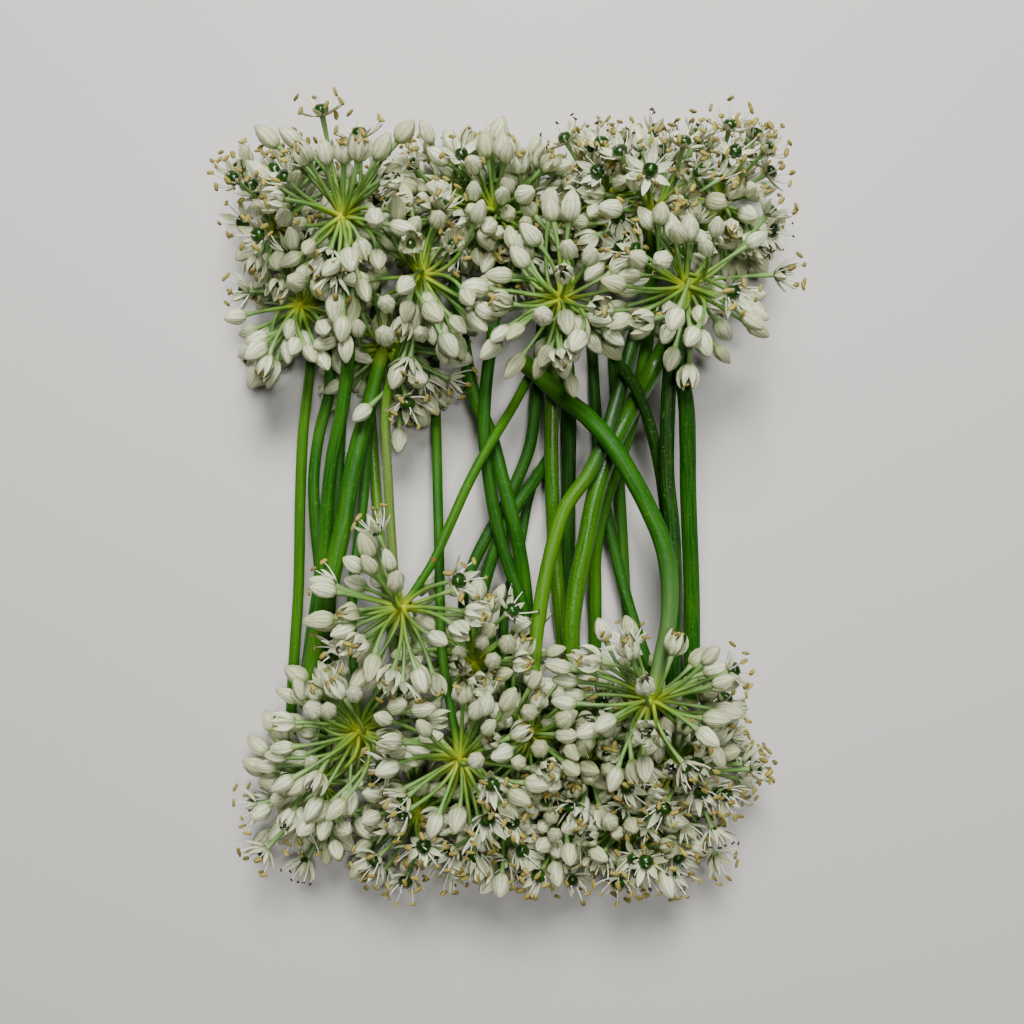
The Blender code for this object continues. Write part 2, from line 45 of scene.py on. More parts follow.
# The bunch as it lies, in millimetres, the same as in the solid model
layout = {
    "gap": 0.35,
    "centre": (-1.65, 0.58),  # middle of the bunch in the plan that the routes are read in
    "wallX": (-58.0, 56.0),
    "wallY": (-80.0, 82.0),
    "ceiling": 60,
    "curveSteps": 12,
    "routeSamples": 60,
    "scapePoints": 12,
    "settlingRounds": 60,
    "settled": 0.02,
    "settleReach": 1.5,
    "settleShare": 0.5,
    "sideDistance": 0.87,
    "restSink": 0.1,
    "restLength": 20.0,
    "resting": "N02",
}

# Sizes of the solid heads, which the first florets are placed by
solid = {
    "hubRadius": 1.9,
    "hubInset": 0.795,  # from the hub's middle to its faces
    "hubSwell": 0.4,
    "neckReach": 5.6,
    "neckRadius": 1.05,
    "neckBalls": (0.0, 2.0, 3.5, 5.0),
    "pedicelRadius": 0.56,
    "pedicelBend": 0.4,
    "pedicelMiddle": 0.45,
    "budLength": 7.0,
    "budRadius": 2.4,
    "flowerRadius": 5.5,
    "flowerRise": 1.5,
    "ovaryHeight": 2.5,
    "spread": 20.0,
    "reach": (13.5, 17.5),
    "shownTries": 40,
    "shownStep": 0.09,
    "freeTries": 80,
    "freeStep": 0.3,
    "reachStep": 0.05,
    "bloomOutward": 1.6,
    "bloomInward": 0.4,
    "hubClearance": 4.6,
    "groundClearance": 0.05,
    "liftingRounds": 12,
    "liftStep": 0.02,
    "openSky": 38.0,
    "skyBalls": (7, 12, 18, 24),
    "skyRadius": 3.5,
    "nearBy": 20,
    "facesTried": 3,
}
skyOwner = -1
stalkOwner = -2


def flower(name, route, width, head, opened, shows=False, buds=(), blooms=(), tone=0.5, wax=0.0, wet=0.0,
           paintedShade=(0.0, 0.0)):
    # tone runs from dark green to lime, wax is the grey bloom on a stalk, and wet makes it shine;
    # paintedShade is painted shade: a stalk darkened toward its head and cut end, where heads shade it
    return {
        "name": name, "route": route, "width": width, "head": head, "opened": opened,
        "shows": shows, "buds": list(buds), "blooms": list(blooms), "tone": tone, "wax": wax,
        "wet": wet, "paintedShade": paintedShade,
    }


flowers = [
    flower("S01", [(10, -69), (2, -47), (-2, -25), (1, -12), (4, 4), (6, 10)], 2.1, 9, 0.6, tone=0.3,
           buds=[(-1, 1, 16), (3, 11, 16)], blooms=[(3, -11, 7), (-1, 10, 14)]),
    flower("S02", [(-21, -67), (-24, -47), (-27, -29), (-30, -6), (-32, 17), (-33, 30)], 2.3, 9, 0.5,
           tone=1.3, wet=1.0, paintedShade=(0.0, 0.6)),
    flower("S03", [(-43, -61), (-42, -42), (-41, -20), (-40, 0), (-39, 25)], 2.2, 9, 0.3, tone=0.3,
           buds=[(-9, -10, 2), (5, -11, 2)], blooms=[(-3, -17, 0)]),
    flower("N01", [(-19, 50), (-23, 37), (-27, 24), (-27, 7), (-26, -17), (-26, -31)], 2.1, 24, 0.3,
           shows=True, blooms=[(2, 12, 8)], tone=1.35, wet=1.0, paintedShade=(0.6, 0.0),
           buds=[(10, -7, 14), (3, -10, 15), (-2, -5, 16), (-1, 3, 17), (0, 6, 14), (4, 9, 12),
                 (7, 6, 12), (12, 11, 8)]),
    flower("S04", [(-8, -33), (-11, -21), (-8, -10), (-1, 3), (4, 15), (6, 31), (7, 44)], 2.7, 12, 0.2,
           tone=0.3,
           buds=[(4, 2, 16), (3, 8, 14), (4, 6, 16), (7, 5, 13), (10, 2, 10), (8, 0, 15),
                 (1, -3, 16), (-3, 1, 16)]),
    flower("S05", [(-2, -68), (-1, -46), (-3, -34), (-7, -22), (-5, -12), (-1, -2), (5, 7), (8.6, 12.6)],
           2.7, 9, 0.7, blooms=[(2, 3, 17), (4, -4, 13)], tone=0.35),
    flower("N02", [(2, 64), (11, 41), (13, 25), (13, 8), (13, -13), (14, -25)], 3.2, 9, 0.3, tone=0.25),
    flower("S06", [(25, -69), (28, -42), (26, -24), (25, -3), (24, 17), (23, 38)], 2.3, 10, 0.7,
           blooms=[(0, -11, 4)], tone=0.45),
    flower("S07", [(36, -56), (33, -42), (27, -24), (23, -8), (20, 10), (18, 43)], 2.5, 13, 0.7,
           tone=0.25,
           blooms=[(2, 4, 17), (16, 1, 7), (-5, -5, 15), (7, -12, 9), (9, -20, 0), (-7, -12, 9),
                   (-3, -19, 1)]),
    flower("N03", [(-52, 63), (-45, 47), (-40, 32), (-43, 16), (-44, 3), (-42, -22), (-42, -41)],
           2.5, 12, 0.5, buds=[(4, 1, 14), (-3, -10, 8)], tone=0.45,
           blooms=[(-4, 7, 8), (-7, 1, 9), (-1, -5, 14)]),
    flower("S08", [(-33, -47), (-34, -36), (-35, -19), (-33, 3), (-32, 25), (-31, 56)], 2.2, 20, 0.15,
           shows=True, tone=0.5,
           buds=[(-4, 7, 16), (-8, 6, 10), (1, 10, 14), (-2, 9, 13), (-8, 10, 8), (-12, 9, 2),
                 (-14, 8, -4), (-12, -1, -6), (-17, -5, 2), (-20, -8, -2), (-20, -12, -6),
                 (-14, -9, 10), (-14, -17, -2), (-3, -14, 10), (-7, -16, 4), (0, -20, 2),
                 (5, -19, -4)]),
    flower("N04", [(21, 70), (15, 60), (10, 45), (9, 25), (9, 8), (10, -13), (12, -32)], 3.2, 12, 0.8,
           blooms=[(-4, 8, 9), (-3, 1, 15), (3, -6, 15), (3, -12, 13), (4, 12, 6)], tone=0.7, wet=1.0,
           paintedShade=(0.5, 0.0)),
    flower("N05", [(-14, 68), (-12, 47), (-9, 28), (-5, 18), (-2, 7), (2, -10), (4, -29), (5, -43)],
           3.1, 10, 0.6, blooms=[(3, 7, 14), (-7, 6, 11)], tone=0.4),
    flower("N06", [(30, 64), (30, 42), (27, 22), (23, 9), (19, -6), (19, -23), (19, -38)], 2.9, 20, 0.5,
           buds=[(-3, 15, 2), (-5, 3, 14)], blooms=[(1, 11, 8)], tone=0.55),
    flower("N07", [(-4, 66), (-3, 51), (-6, 23), (-5, 7), (-2, -8), (3, -23), (4, -40)], 2.7, 14, 0.3,
           buds=[(-4, 6, 14), (2, 10, 12), (-6, -1, 14), (2, -1, 17), (10, -1, 12)], tone=0.3),
    flower("N08", [(-35, 61), (-34, 47), (-35, 28), (-39, 9), (-42, -15), (-45, -31), (-48, -44)],
           2.8, 30, 0.2, shows=True, blooms=[(-4, 21, 2), (2, 18, 6), (-1, -8, -13)], tone=0.5,
           buds=[(-15, 16, 0), (-9, 14, 6), (-2, 10, 10), (5, 10, 12), (13, 16, 4), (-16, 8, 3),
                 (-5, -9, 12), (3, -11, 12), (8, -3, 12), (-10, 0, -6), (-1, -12, 8),
                 (8, -10, 6)]),
    flower("N09", [(-46, 45), (-44, 35), (-46, 18), (-47, 3), (-48, -20), (-51, -54)], 2.4, 16, 0.2,
           shows=True, blooms=[(-14, 3, 0)], tone=0.65,
           buds=[(2, 2, 16), (-12, -5, -4), (-8, -8, 6), (-12, -10, -8), (-9, -14, -7), (-5, -11, -2),
                 (-1, -12, -6), (4, -12, 12), (7, -7, 14)]),
    flower("S09", [(17, -55), (14, -39), (13, -24), (16, -7), (19, 7), (24, 19), (35, 39)], 3.9, 13, 0.5,
           buds=[(-3, 6, 16)], tone=0.62, wet=1.0),
    flower("S10", [(4, -49), (5, -30), (7, -15), (10, -3), (13, 4), (19, 13), (27, 40)], 3.1, 15, 0.3,
           tone=0.88, wet=0.5, paintedShade=(0.0, 0.6),
           buds=[(7, 3, 15), (-2, 9, 15), (1, 14, 13), (1, 17, 9), (4, 8, 16)], blooms=[(3, 2, 16)]),
    flower("S11", [(-11, -52), (-15, -31), (-16, -11), (-17, 16), (-18, 40)], 2.2, 24, 0.4, shows=True,
           tone=0.55,
           buds=[(1, 15, 10), (4, 3, 17), (-14, 0, 10), (-13, 6, 14), (-15, 10, 10), (10, 13, 8)],
           blooms=[(6, -2, 15), (-12, -6, 8), (-9, -20, -2), (3, -21, -2)]),
    flower("N10", [(-28, 37), (-31, 24), (-34, 12), (-37, -5), (-41, -22), (-46, -43)], 4.0, 14, 0.4,
           shows=True, blooms=[(4, -12, 8), (11, -8, 4)], tone=0.55,
           buds=[(-7, 5, 14), (-11, 3, 11), (-6, -1, 13), (2, 6, 15), (6, 3, 14), (2, -1, 17),
                 (-12, 10, 10), (-2, -18, 7), (2, -20, 4)]),
    flower("S12", [(-23, -20), (-17, -11), (-13, -2), (-8, 9), (0, 23), (5, 33)], 2.1, 26, 0.2,
           shows=True, blooms=[(1, -15, 4)], tone=0.6,
           buds=[(-16, 5, 2), (-10, 9, 0), (-2, 10, 8), (0, 6, 15), (-15, -3, 4), (8, -5, 14),
                 (12, -3, 12), (15, -1, 4), (7, -16, 0), (-11, -7, 8)]),
    flower("N11", [(10, 44), (18, 36), (26, 27), (31, 14), (34, -2), (37, -29), (39, -41)], 2.6, 30, 0.1,
           shows=True, tone=0.1,
           buds=[(-12, 4, 4), (-12, -2, 8), (0, 2, 16), (1, 7, 14), (7, -4, 14), (-4, -6, 15),
                 (-14, -10, 0), (-9, -13, -2), (-3, -12, 3), (3, -10, 11), (-6, 12, 4),
                 (-10, 13, -3), (2, 18, 1), (-2, 20, -3), (-7, 20, -6)]),
    flower("N12", [(46, 68), (38, 53), (34, 37), (33, 11), (35, -10), (35, -46)], 3.1, 12, 0.8, tone=0.15,
           buds=[(0, -1, 17), (-9, 3, 15)], blooms=[(1, 8, 12), (9, 6, 8), (-6, 12, 6), (-9, -2, 14)]),
    flower("N13", [(36, 47), (35, 34), (37, 20), (38, 4), (40, -20), (41, -43)], 3.5, 28, 0.25,
           shows=True, blooms=[(17, 15, 2), (19, 2, 2), (8, -3, 12)], tone=0.35,
           buds=[(16, -8, -6), (9, -13, -8), (-15, -1, 8), (-18, -6, 4), (-14, -9, 9), (-10, -9, 13),
                 (-4, -9, 15), (-11, 3, 12), (-7, 2, 15), (2, 5, 14), (-3, 8, 12), (-6, 13, 8),
                 (5, 10, 9), (0, -12, 10)]),
    flower("S13", [(29, -39), (31, -30), (33, -20), (32, -8), (27, 4), (19, 17), (12, 24), (2, 34)],
           3.8, 28, 0.15, shows=True, tone=0.52, wax=0.9,
           buds=[(-19, 7, 2), (-18, 0, 4), (-13, 9, 6), (-10, 14, -1), (-4, 14, 2), (4, 12, 6),
                 (-3, 5, 16), (13, 6, 0), (18, -3, -4), (12, -3, 6), (-3, -4, 16), (15, -10, -1),
                 (-4, -20, -4), (-4, -14, 4)]),
]


def smoothRoute(points, count):
    # evenly spaced points on a smooth curve through the given ones
    ends = [2 * np.array(points[0]) - points[1], 2 * np.array(points[-1]) - points[-2]]
    line = np.vstack([ends[0], points, ends[1]]).astype(float)
    curve = []
    for before, start, end, after in zip(line, line[1:], line[2:], line[3:]):
        for t in np.linspace(0, 1, layout["curveSteps"], endpoint=False):
            square = 2 * before - 5 * start + 4 * end - after
            cube = 3 * start - before - 3 * end + after
            curve.append(0.5 * (2 * start + (end - before) * t + square * t**2 + cube * t**3))
    curve.append(line[-2])
    return spaced(np.array(curve), count)


def along(line):
    steps = np.linalg.norm(np.diff(line, axis=0), axis=1)
    return np.concatenate([[0.0], np.cumsum(steps)])


def spaced(line, count):
    run = along(line)
    places = np.linspace(0, run[-1], count)
    return np.column_stack([np.interp(places, run, axis) for axis in line.T])


def taut(run, heights):
    # the lowest line over the heights that sags nowhere
    kept = []
    for place, height in zip(run, heights):
        while len(kept) > 1:
            (x0, z0), (x1, z1) = kept[-2:]
            if (z1 - z0) * (place - x0) > (height - z0) * (x1 - x0):
                break
            kept.pop()
        kept.append((place, height))
    return np.interp(run, *zip(*kept))


def over(plan, radius, laid):
    # the least height of each plan point that clears the stalks already laid
    least = np.full(len(plan), layout["sideDistance"] * radius)
    for other, otherRadius in laid:
        apart = np.linalg.norm(plan[:, None, :2] - other[None, :, :2], axis=2)
        reach = radius + otherRadius + layout["gap"]
        lift = other[:, 2] + np.sqrt(np.maximum(reach**2 - apart**2, 0))
        least = np.maximum(least, np.where(apart < reach, lift, 0).max(axis=1))
    return least


def layScape(one, laid):
    radius = one["width"] / 2
    samples = layout["routeSamples"]
    plan = smoothRoute(one["route"], samples)
    need = over(plan, radius, laid)
    need[0] = max(need[0], one["head"])
    run = along(plan)
    if one["name"] == layout["resting"]:
        level = run > run[-1] - layout["restLength"]
        need[level] = layout["sideDistance"] * radius - layout["restSink"]
        rise = taut(run[~level], np.append(need[~level][:-1], need[-1]))
        heights = np.append(rise, need[level])
        return spaced(np.column_stack([plan, heights]), layout["scapePoints"])
    line = spaced(np.column_stack([plan, taut(run, need)]), layout["scapePoints"])
    for _ in range(layout["settlingRounds"]):
        fine = spaced(line, samples)
        short = over(fine, radius, laid) - fine[:, 2]
        if short.max() < layout["settled"]:
            break
        worst = along(fine)[short.argmax()]
        near = np.abs(along(line) - worst) < layout["settleReach"] * along(line)[1]
        line[near, 2] += layout["settleShare"] * short.max() + layout["settled"]
    return line


def stepDown(line):
    return (line[1] - line[0]) / np.linalg.norm(line[1] - line[0])


def hubNormals(line, turn):
    # the ways out of an icosahedral hub whose first face is square to the stalk
    hub = bmesh.new()
    bmesh.ops.create_icosphere(hub, subdivisions=1, radius=solid["hubRadius"])
    hub.faces.ensure_lookup_table()
    down = Vector(stepDown(line))
    swing = hub.faces[0].normal.rotation_difference(down).to_matrix()
    spin = Matrix.Rotation(turn, 3, down)
    bmesh.ops.rotate(hub, verts=hub.verts, cent=(0, 0, 0), matrix=spin @ swing)
    hub.normal_update()
    normals = [face.normal.copy() for face in hub.faces]
    hub.free()
    return normals


class Crowd:
    # balls that stand for all that is in place, so that what comes next keeps clear of it
    def __init__(self, gap):
        self.balls = np.empty((0, 5))
        self.gap = gap

    def add(self, points, radii, owner):
        rows = np.column_stack([points, radii, np.full(len(points), owner)])
        self.balls = np.vstack([self.balls, rows])

    def free(self, points, radii, owner, hub, shown):
        centre = points.mean(axis=0)
        balls = self.balls[np.abs(self.balls[:, :3] - centre).max(axis=1) < solid["nearBy"]]
        if shown:
            balls = balls[balls[:, 4] != skyOwner]
        apart = np.linalg.norm(points[:, None] - balls[None, :, :3], axis=2)
        hit = apart < radii[:, None] + balls[:, 3] + self.gap
        atHub = np.linalg.norm(points - hub, axis=1) < solid["hubClearance"]
        hit &= ~(atHub[:, None] & (balls[:, 4] == owner))
        return not hit.any()


def floretAt(root, normal, centre, kind, sizes):
    # a floret from its root on the hub to its centre, lifted clear of the ground
    root, normal, centre = Vector(root), Vector(normal), Vector(centre)
    back, wide, belly, tip = sizes[kind]
    share = solid["pedicelMiddle"]
    thick = solid["pedicelRadius"]
    ground = solid["groundClearance"]
    for _ in range(solid["liftingRounds"]):
        bend = root + normal * solid["pedicelBend"] * (centre - root).length
        axis = (centre - bend).normalized()
        base = centre - axis * back
        middle = root * (1 - share) ** 2 + bend * 2 * share * (1 - share) + base * share**2
        lowest = min(
            base.z - thick, middle.z - thick, base.z + tip * axis.z,
            base.z + belly * axis.z - wide * math.sqrt(1 - axis.z**2))
        if lowest > ground:
            break
        centre.z += ground - lowest + solid["liftStep"]
    return {"kind": kind, "root": root, "bend": bend, "middle": middle, "base": base, "axis": axis,
            "lowest": lowest}


solidSizes = {
    "bud": (0.45 * solid["budLength"], solid["budRadius"], 0.42 * solid["budLength"], solid["budLength"]),
    "bloom": (1.0, solid["flowerRadius"], solid["flowerRise"], solid["ovaryHeight"]),
}
solidBalls = {
    "pedicel": (0.0, 7, 1.0, solid["pedicelRadius"]),  # first share, count, radius at the hub and beyond
    "bud": (solid["budLength"], solid["budRadius"], [(0.2, 0.65), (0.42, 1.0), (0.66, 0.65), (0.9, 0.25)]),
    "bloom": (12, [(1.2, solid["flowerRadius"] - 0.9, 0.8, 1), (1.1, 2.2, 1.3, 2)]),
}


def ballsOf(floret, fill):
    # balls that fill a floret: a bud's have shares of its length and radius, and a bloom's lie in rings
    # that each have a height, a distance out, a radius and a step round the rim
    root, middle, base = (np.array(floret[key]) for key in ("root", "middle", "base"))
    axis = np.array(floret["axis"])
    first, count, thick, thin = fill["pedicel"]
    share = np.linspace(first, 1, count)[:, None]
    points = [root + (middle - root) * share, middle + (base - middle) * share]
    radii = [thick + (thin - thick) * share.ravel(), np.full(count, thin)]
    if floret["kind"] == "bud":
        length, radius, balls = fill["bud"]
        places, sizes = np.array(balls).T
        points.append(base + axis * length * places[:, None])
        radii.append(radius * sizes)
    else:
        count, rings = fill["bloom"]
        side = np.array(Vector(axis).orthogonal().normalized())
        across = np.cross(axis, side)
        turn = np.arange(count)[:, None] * math.tau / count
        rim = np.cos(turn) * side + np.sin(turn) * across
        for height, out, radius, step in rings:
            points.append(base + axis * height + rim[::step] * out)
            radii.append(np.full(len(rim[::step]), radius))
    return np.vstack(points), np.concatenate(radii)


def put(crowd, head, face, kind, aims, shown):
    for aim in aims:
        lowest = (layout["wallX"][0], layout["wallY"][0], 0)
        aim = np.clip(aim, lowest, (layout["wallX"][1], layout["wallY"][1], layout["ceiling"]))
        floret = floretAt(head["roots"][face], head["normals"][face], aim, kind, solidSizes)
        points, radii = ballsOf(floret, solidBalls)
        if floret["lowest"] > 0 and crowd.free(points, radii, head["owner"], head["centre"], shown):
            crowd.add(points, radii, head["owner"])
            head["florets"][face] = floret
            return True
    return False


def shownAims(draw, centre, wished):
    for attempt in range(solid["shownTries"]):
        off = solid["shownStep"] * attempt
        shift = [draw.uniform(-off, off), draw.uniform(-off, off), draw.uniform(-2 * off, off)]
        yield centre + wished + shift


def freeAims(draw, head, face):
    normal = head["normals"][face]
    for attempt in range(solid["freeTries"]):
        side = normal.orthogonal().normalized()
        furthest = solid["spread"] + solid["freeStep"] * attempt
        lean = Matrix.Rotation(math.radians(draw.uniform(0, furthest)), 3, side)
        roll = Matrix.Rotation(draw.uniform(0, math.tau), 3, normal)
        way = roll @ lean @ normal
        reach = draw.uniform(solid["reach"][0] - solid["reachStep"] * attempt, solid["reach"][1])
        if head["shows"] and way.z > math.cos(math.radians(solid["openSky"])):
            continue
        yield head["centre"] + np.array(way) * reach


def addPlants(crowd, heads, lines):
    # the stalks, necks and open sky of all heads
    for head, line in zip(heads, lines):
        one, centre, owner = head["one"], head["centre"], head["owner"]
        fine = spaced(line, int(along(line)[-1]))[int(solid["neckReach"]):]
        crowd.add(fine, np.full(len(fine), one["width"] / 2), stalkOwner)
        neck = centre + stepDown(line) * np.array(solid["neckBalls"])[:, None]
        thin = solid["neckRadius"]
        crowd.add(neck, [solid["hubRadius"] + solid["hubSwell"], thin, thin, thin], owner)
        if one["shows"]:
            sky = centre + np.array([[0, 0, rise] for rise in solid["skyBalls"]])
            crowd.add(sky, np.full(len(sky), solid["skyRadius"]), skyOwner)


def placeFlorets(lines):
    # the florets of the solid heads, those that show first and the highest heads before the rest
    crowd = Crowd(layout["gap"])
    heads = []
    for owner, (one, line) in enumerate(zip(flowers, lines)):
        draw = random.Random(100 + owner)
        normals = hubNormals(line, draw.uniform(0, math.tau))
        centre = line[0]
        out = solid["hubInset"] * solid["hubRadius"]
        heads.append({
            "owner": owner, "one": one, "centre": centre, "normals": normals,
            "roots": [Vector(centre) + normal * out for normal in normals],
            "shows": one["shows"], "florets": {}, "draw": draw,
        })
    addPlants(crowd, heads, lines)
    highest = sorted(heads, key=lambda head: -head["centre"][2])
    for head in highest:
        wishes = [("bud", place) for place in head["one"]["buds"]]
        wishes += [("bloom", place) for place in head["one"]["blooms"]]
        for kind, place in wishes:
            way = Vector(place).normalized()
            spare = [face for face in range(1, 20) if face not in head["florets"]]
            spare.sort(key=lambda face: -head["normals"][face].dot(way))
            for face in spare[:solid["facesTried"]]:
                if put(crowd, head, face, kind, shownAims(head["draw"], head["centre"], place), True):
                    break
    for head in highest:
        outward = math.copysign(1, head["centre"][1])
        for face in range(1, 20):
            if face in head["florets"]:
                continue
            leansOut = head["normals"][face].y * outward
            chance = head["one"]["opened"] * solid["bloomOutward" if leansOut > 0.1 else "bloomInward"]
            kind = "bloom" if head["draw"].random() < chance else "bud"
            aims = freeAims(head["draw"], head, face)
            if not put(crowd, head, face, kind, aims, False) and kind == "bloom":
                put(crowd, head, face, "bud", freeAims(head["draw"], head, face), False)
    return heads


laid = []
lines = []
for one in flowers:
    line = layScape(one, laid)
    laid.append((spaced(line, layout["routeSamples"]), one["width"] / 2))
    lines.append(line)
heads = placeFlorets(lines)
print("solid florets", sum(len(head["florets"]) for head in heads))

# The real heads hold about three times as many florets, so more go into the gaps at their real size
filling = {
    "gap": -0.55,  # soft florets press on one another
    "wholeHead": (44, 52),
    "tries": 1100,
    "veils": {  # from and to along the stalk, and how many florets hang over it there
        "N01": (6, 25, 13), "N08": (7, 27, 16), "N09": (6, 10, 3), "N11": (6, 16, 7), "N13": (6, 18, 8)},
    "veilTries": 200,
    "veilSpread": ((-4, 4), (-1, 1), (3.2, 8)),
    "clearStalks": {"S11": (6, 42), "N10": (5, 16)},  # stretches that nothing more hangs over
    "clearBalls": ((4, 8, 12), 2.4),
    "overStalk": 4.5,  # no other floret of a head that shows hangs this near above its stalk
    "stalkSamples": 100,
    "overSamples": (15, 45),
    "reach": (10.5, 18.5),
    "firstReach": (14, 0.01),  # the least reach at first, and how much it shrinks a try
    "offStalk": 32.0,  # degrees round the stalk that stay free
    "rootOut": 0.8,
    "halfOpen": 0.55,  # share of a head's openness at which its buds have parted
    "bloomTries": 400,
    "bloomOutward": 1.4,
    "bloomInward": 0.4,
    "bend": 0.18,
    "budLength": 5.7,
    "budRadius": 1.9,
    "flowerRadius": 5.2,
}
fineSizes = {
    "bud": (2.6, filling["budRadius"], 2.4, filling["budLength"]),
    "bloom": (1.0, filling["flowerRadius"], 1.6, 2.6),
}
fineBalls = {
    "pedicel": (0.25, 6, 0.45, 0.45),
    "bud": (filling["budLength"], filling["budRadius"], [(0.2, 0.75), (0.45, 1.0), (0.75, 0.6)]),
    "bloom": (9, [(1.6, 3.6, 0.9, 1), (1.4, 1.3, 1.2, 3)]),
}


def refine(floret):
    # the solid's floret as one of real size at the same place
    if floret["kind"] == "bud":
        spare = solid["budLength"] - filling["budLength"]
        floret["base"] = floret["base"] + floret["axis"] * spare * 0.5
    return floret


def nextAim(draw, head, line, down, attempt):
    # where one more floret may go, and the way to it, or nothing where it may not
    first, last, veil = filling["veils"].get(head["one"]["name"], (0, 0, 0))
    if len(head["all"]) < len(head["florets"]) + veil and attempt < filling["veilTries"]:
        below = line[np.searchsorted(along(line), draw.uniform(first, last))]
        aim = below + [draw.uniform(*span) for span in filling["veilSpread"]]
        return aim, Vector(aim - head["centre"]).normalized()
    way = Vector([draw.gauss(0, 1) for _ in range(3)]).normalized()
    skyward = head["shows"] and way.z > math.cos(math.radians(solid["openSky"]))
    if skyward or way.angle(down) < math.radians(filling["offStalk"]):
        return None, way
    near, far = filling["reach"]
    start, shrink = filling["firstReach"]
    aim = head["centre"] + np.array(way) * draw.uniform(max(near, start - shrink * attempt), far)
    if head["shows"] and way.z > 0:
        seen = line[slice(*filling["overSamples"]), :2]
        if np.linalg.norm(seen - aim[:2], axis=1).min() < filling["overStalk"]:
            return None, way
    return aim, way


def fillHead(crowd, head, line, down):
    draw = random.Random(500 + head["owner"])
    wanted = draw.randint(*filling["wholeHead"])
    outward = math.copysign(1, head["centre"][1])
    for attempt in range(filling["tries"]):
        if len(head["all"]) >= wanted:
            break
        aim, way = nextAim(draw, head, line, down, attempt)
        if aim is None or not (layout["wallX"][0] < aim[0] < layout["wallX"][1]
                               and layout["wallY"][0] < aim[1] < layout["wallY"][1]):
            continue
        chance = head["one"]["opened"] * filling["bloomOutward" if way.y * outward > 0.1 else "bloomInward"]
        kind = "bloom" if draw.random() < chance and attempt < filling["bloomTries"] else "bud"
        bent = (way + Vector([draw.gauss(0, filling["bend"]) for _ in range(3)])).normalized()
        root = Vector(head["centre"]) + bent * filling["rootOut"]
        floret = floretAt(root, bent, aim, kind, fineSizes)
        points, radii = ballsOf(floret, fineBalls)
        if floret["lowest"] > 0 and crowd.free(points, radii, head["owner"], head["centre"], False):
            crowd.add(points, radii, head["owner"])
            head["all"].append(floret)


def fillHeads(heads, lines):
    crowd = Crowd(filling["gap"])
    addPlants(crowd, heads, lines)
    for one, line in zip(flowers, lines):
        first, last = filling["clearStalks"].get(one["name"], (0, 0))
        stretch = spaced(line, int(along(line)[-1]))[first:last]
        rises, radius = filling["clearBalls"]
        for rise in rises:
            crowd.add(stretch + [0, 0, rise], np.full(len(stretch), radius), skyOwner)
    for head in heads:
        head["all"] = [refine(floret) for floret in head["florets"].values()]
        for floret in head["all"]:
            crowd.add(*ballsOf(floret, fineBalls), head["owner"])
    for head in sorted(heads, key=lambda head: -head["centre"][2]):
        line = lines[head["owner"]]
        fillHead(crowd, head, spaced(line, filling["stalkSamples"]), Vector(stepDown(line)))


fillHeads(heads, lines)
print("all florets", sum(len(head["all"]) for head in heads), [len(head["all"]) for head in heads])


def toFrame(place):
    # millimetres in the plan to metres in the part's frame
    return Vector((place[0] - layout["centre"][0], place[1] - layout["centre"][1], place[2])) * mm


# Small helpers for node trees
def addNode(tree, kind, values=None, **options):
    node = tree.nodes.new(kind)
    for key, value in options.items():
        setattr(node, key, value)
    for key, value in (values or {}).items():
        socket = node.inputs[key]
        if isinstance(value, bpy.types.NodeSocket):
            tree.links.new(value, socket)
        else:
            socket.default_value = value
    return node


def newTree(name, inputs):
    tree = bpy.data.node_groups.new(name, "GeometryNodeTree")
    tree.interface.new_socket("Geometry", in_out="INPUT", socket_type="NodeSocketGeometry")
    for label, kind in inputs.items():
        tree.interface.new_socket(label, in_out="INPUT", socket_type="NodeSocket" + kind)
    tree.interface.new_socket("Geometry", in_out="OUTPUT", socket_type="NodeSocketGeometry")
    return tree, tree.nodes.new("NodeGroupInput").outputs


def endTree(tree, geometry, material):
    # every tree ends with its copies made real and its material set
    real = addNode(tree, "GeometryNodeRealizeInstances", {"Geometry": geometry})
    painted = addNode(tree, "GeometryNodeSetMaterial", {"Geometry": real.outputs[0], "Material": material})
    out = tree.nodes.new("NodeGroupOutput")
    tree.links.new(painted.outputs[0], out.inputs[0])


def grown(source, tree, values, name):
    # the object with the tree applied, as a plain mesh object
    modifier = source.modifiers.new(tree.name, "NODES")
    modifier.node_group = tree
    for item in tree.interface.items_tree:
        if item.in_out == "INPUT" and item.name in values:
            modifier[item.identifier] = values[item.name]
    bpy.context.view_layer.update()
    graph = bpy.context.evaluated_depsgraph_get()
    data = bpy.data.meshes.new_from_object(source.evaluated_get(graph))
    source.modifiers.remove(modifier)
    bpy.data.objects.remove(source)
    data.name = name
    return addObject(name, data)


def addObject(name, data):
    piece = bpy.data.objects.new(name, data)
    piece.name = name
    bpy.context.scene.collection.objects.link(piece)
    return piece


def joined(pieces, name):
    with bpy.context.temp_override(active_object=pieces[0], selected_editable_objects=pieces):
        bpy.ops.object.join()
    pieces[0].name = name
    pieces[0].data.name = name
    return pieces[0]


# Shapes that are repeated, each standing on the origin along +Z, in metres
def newShape(name, mesh, sharp=None):
    bmesh.ops.remove_doubles(mesh, verts=mesh.verts, dist=1e-7)
    bmesh.ops.recalc_face_normals(mesh, faces=mesh.faces)
    data = bpy.data.meshes.new(name)
    mesh.to_mesh(data)
    mesh.free()
    data.shade_smooth()
    if sharp:
        data.set_sharp_from_angle(angle=math.radians(sharp))
    shape = addObject(name, data)
    shape.hide_render = True
    return shape


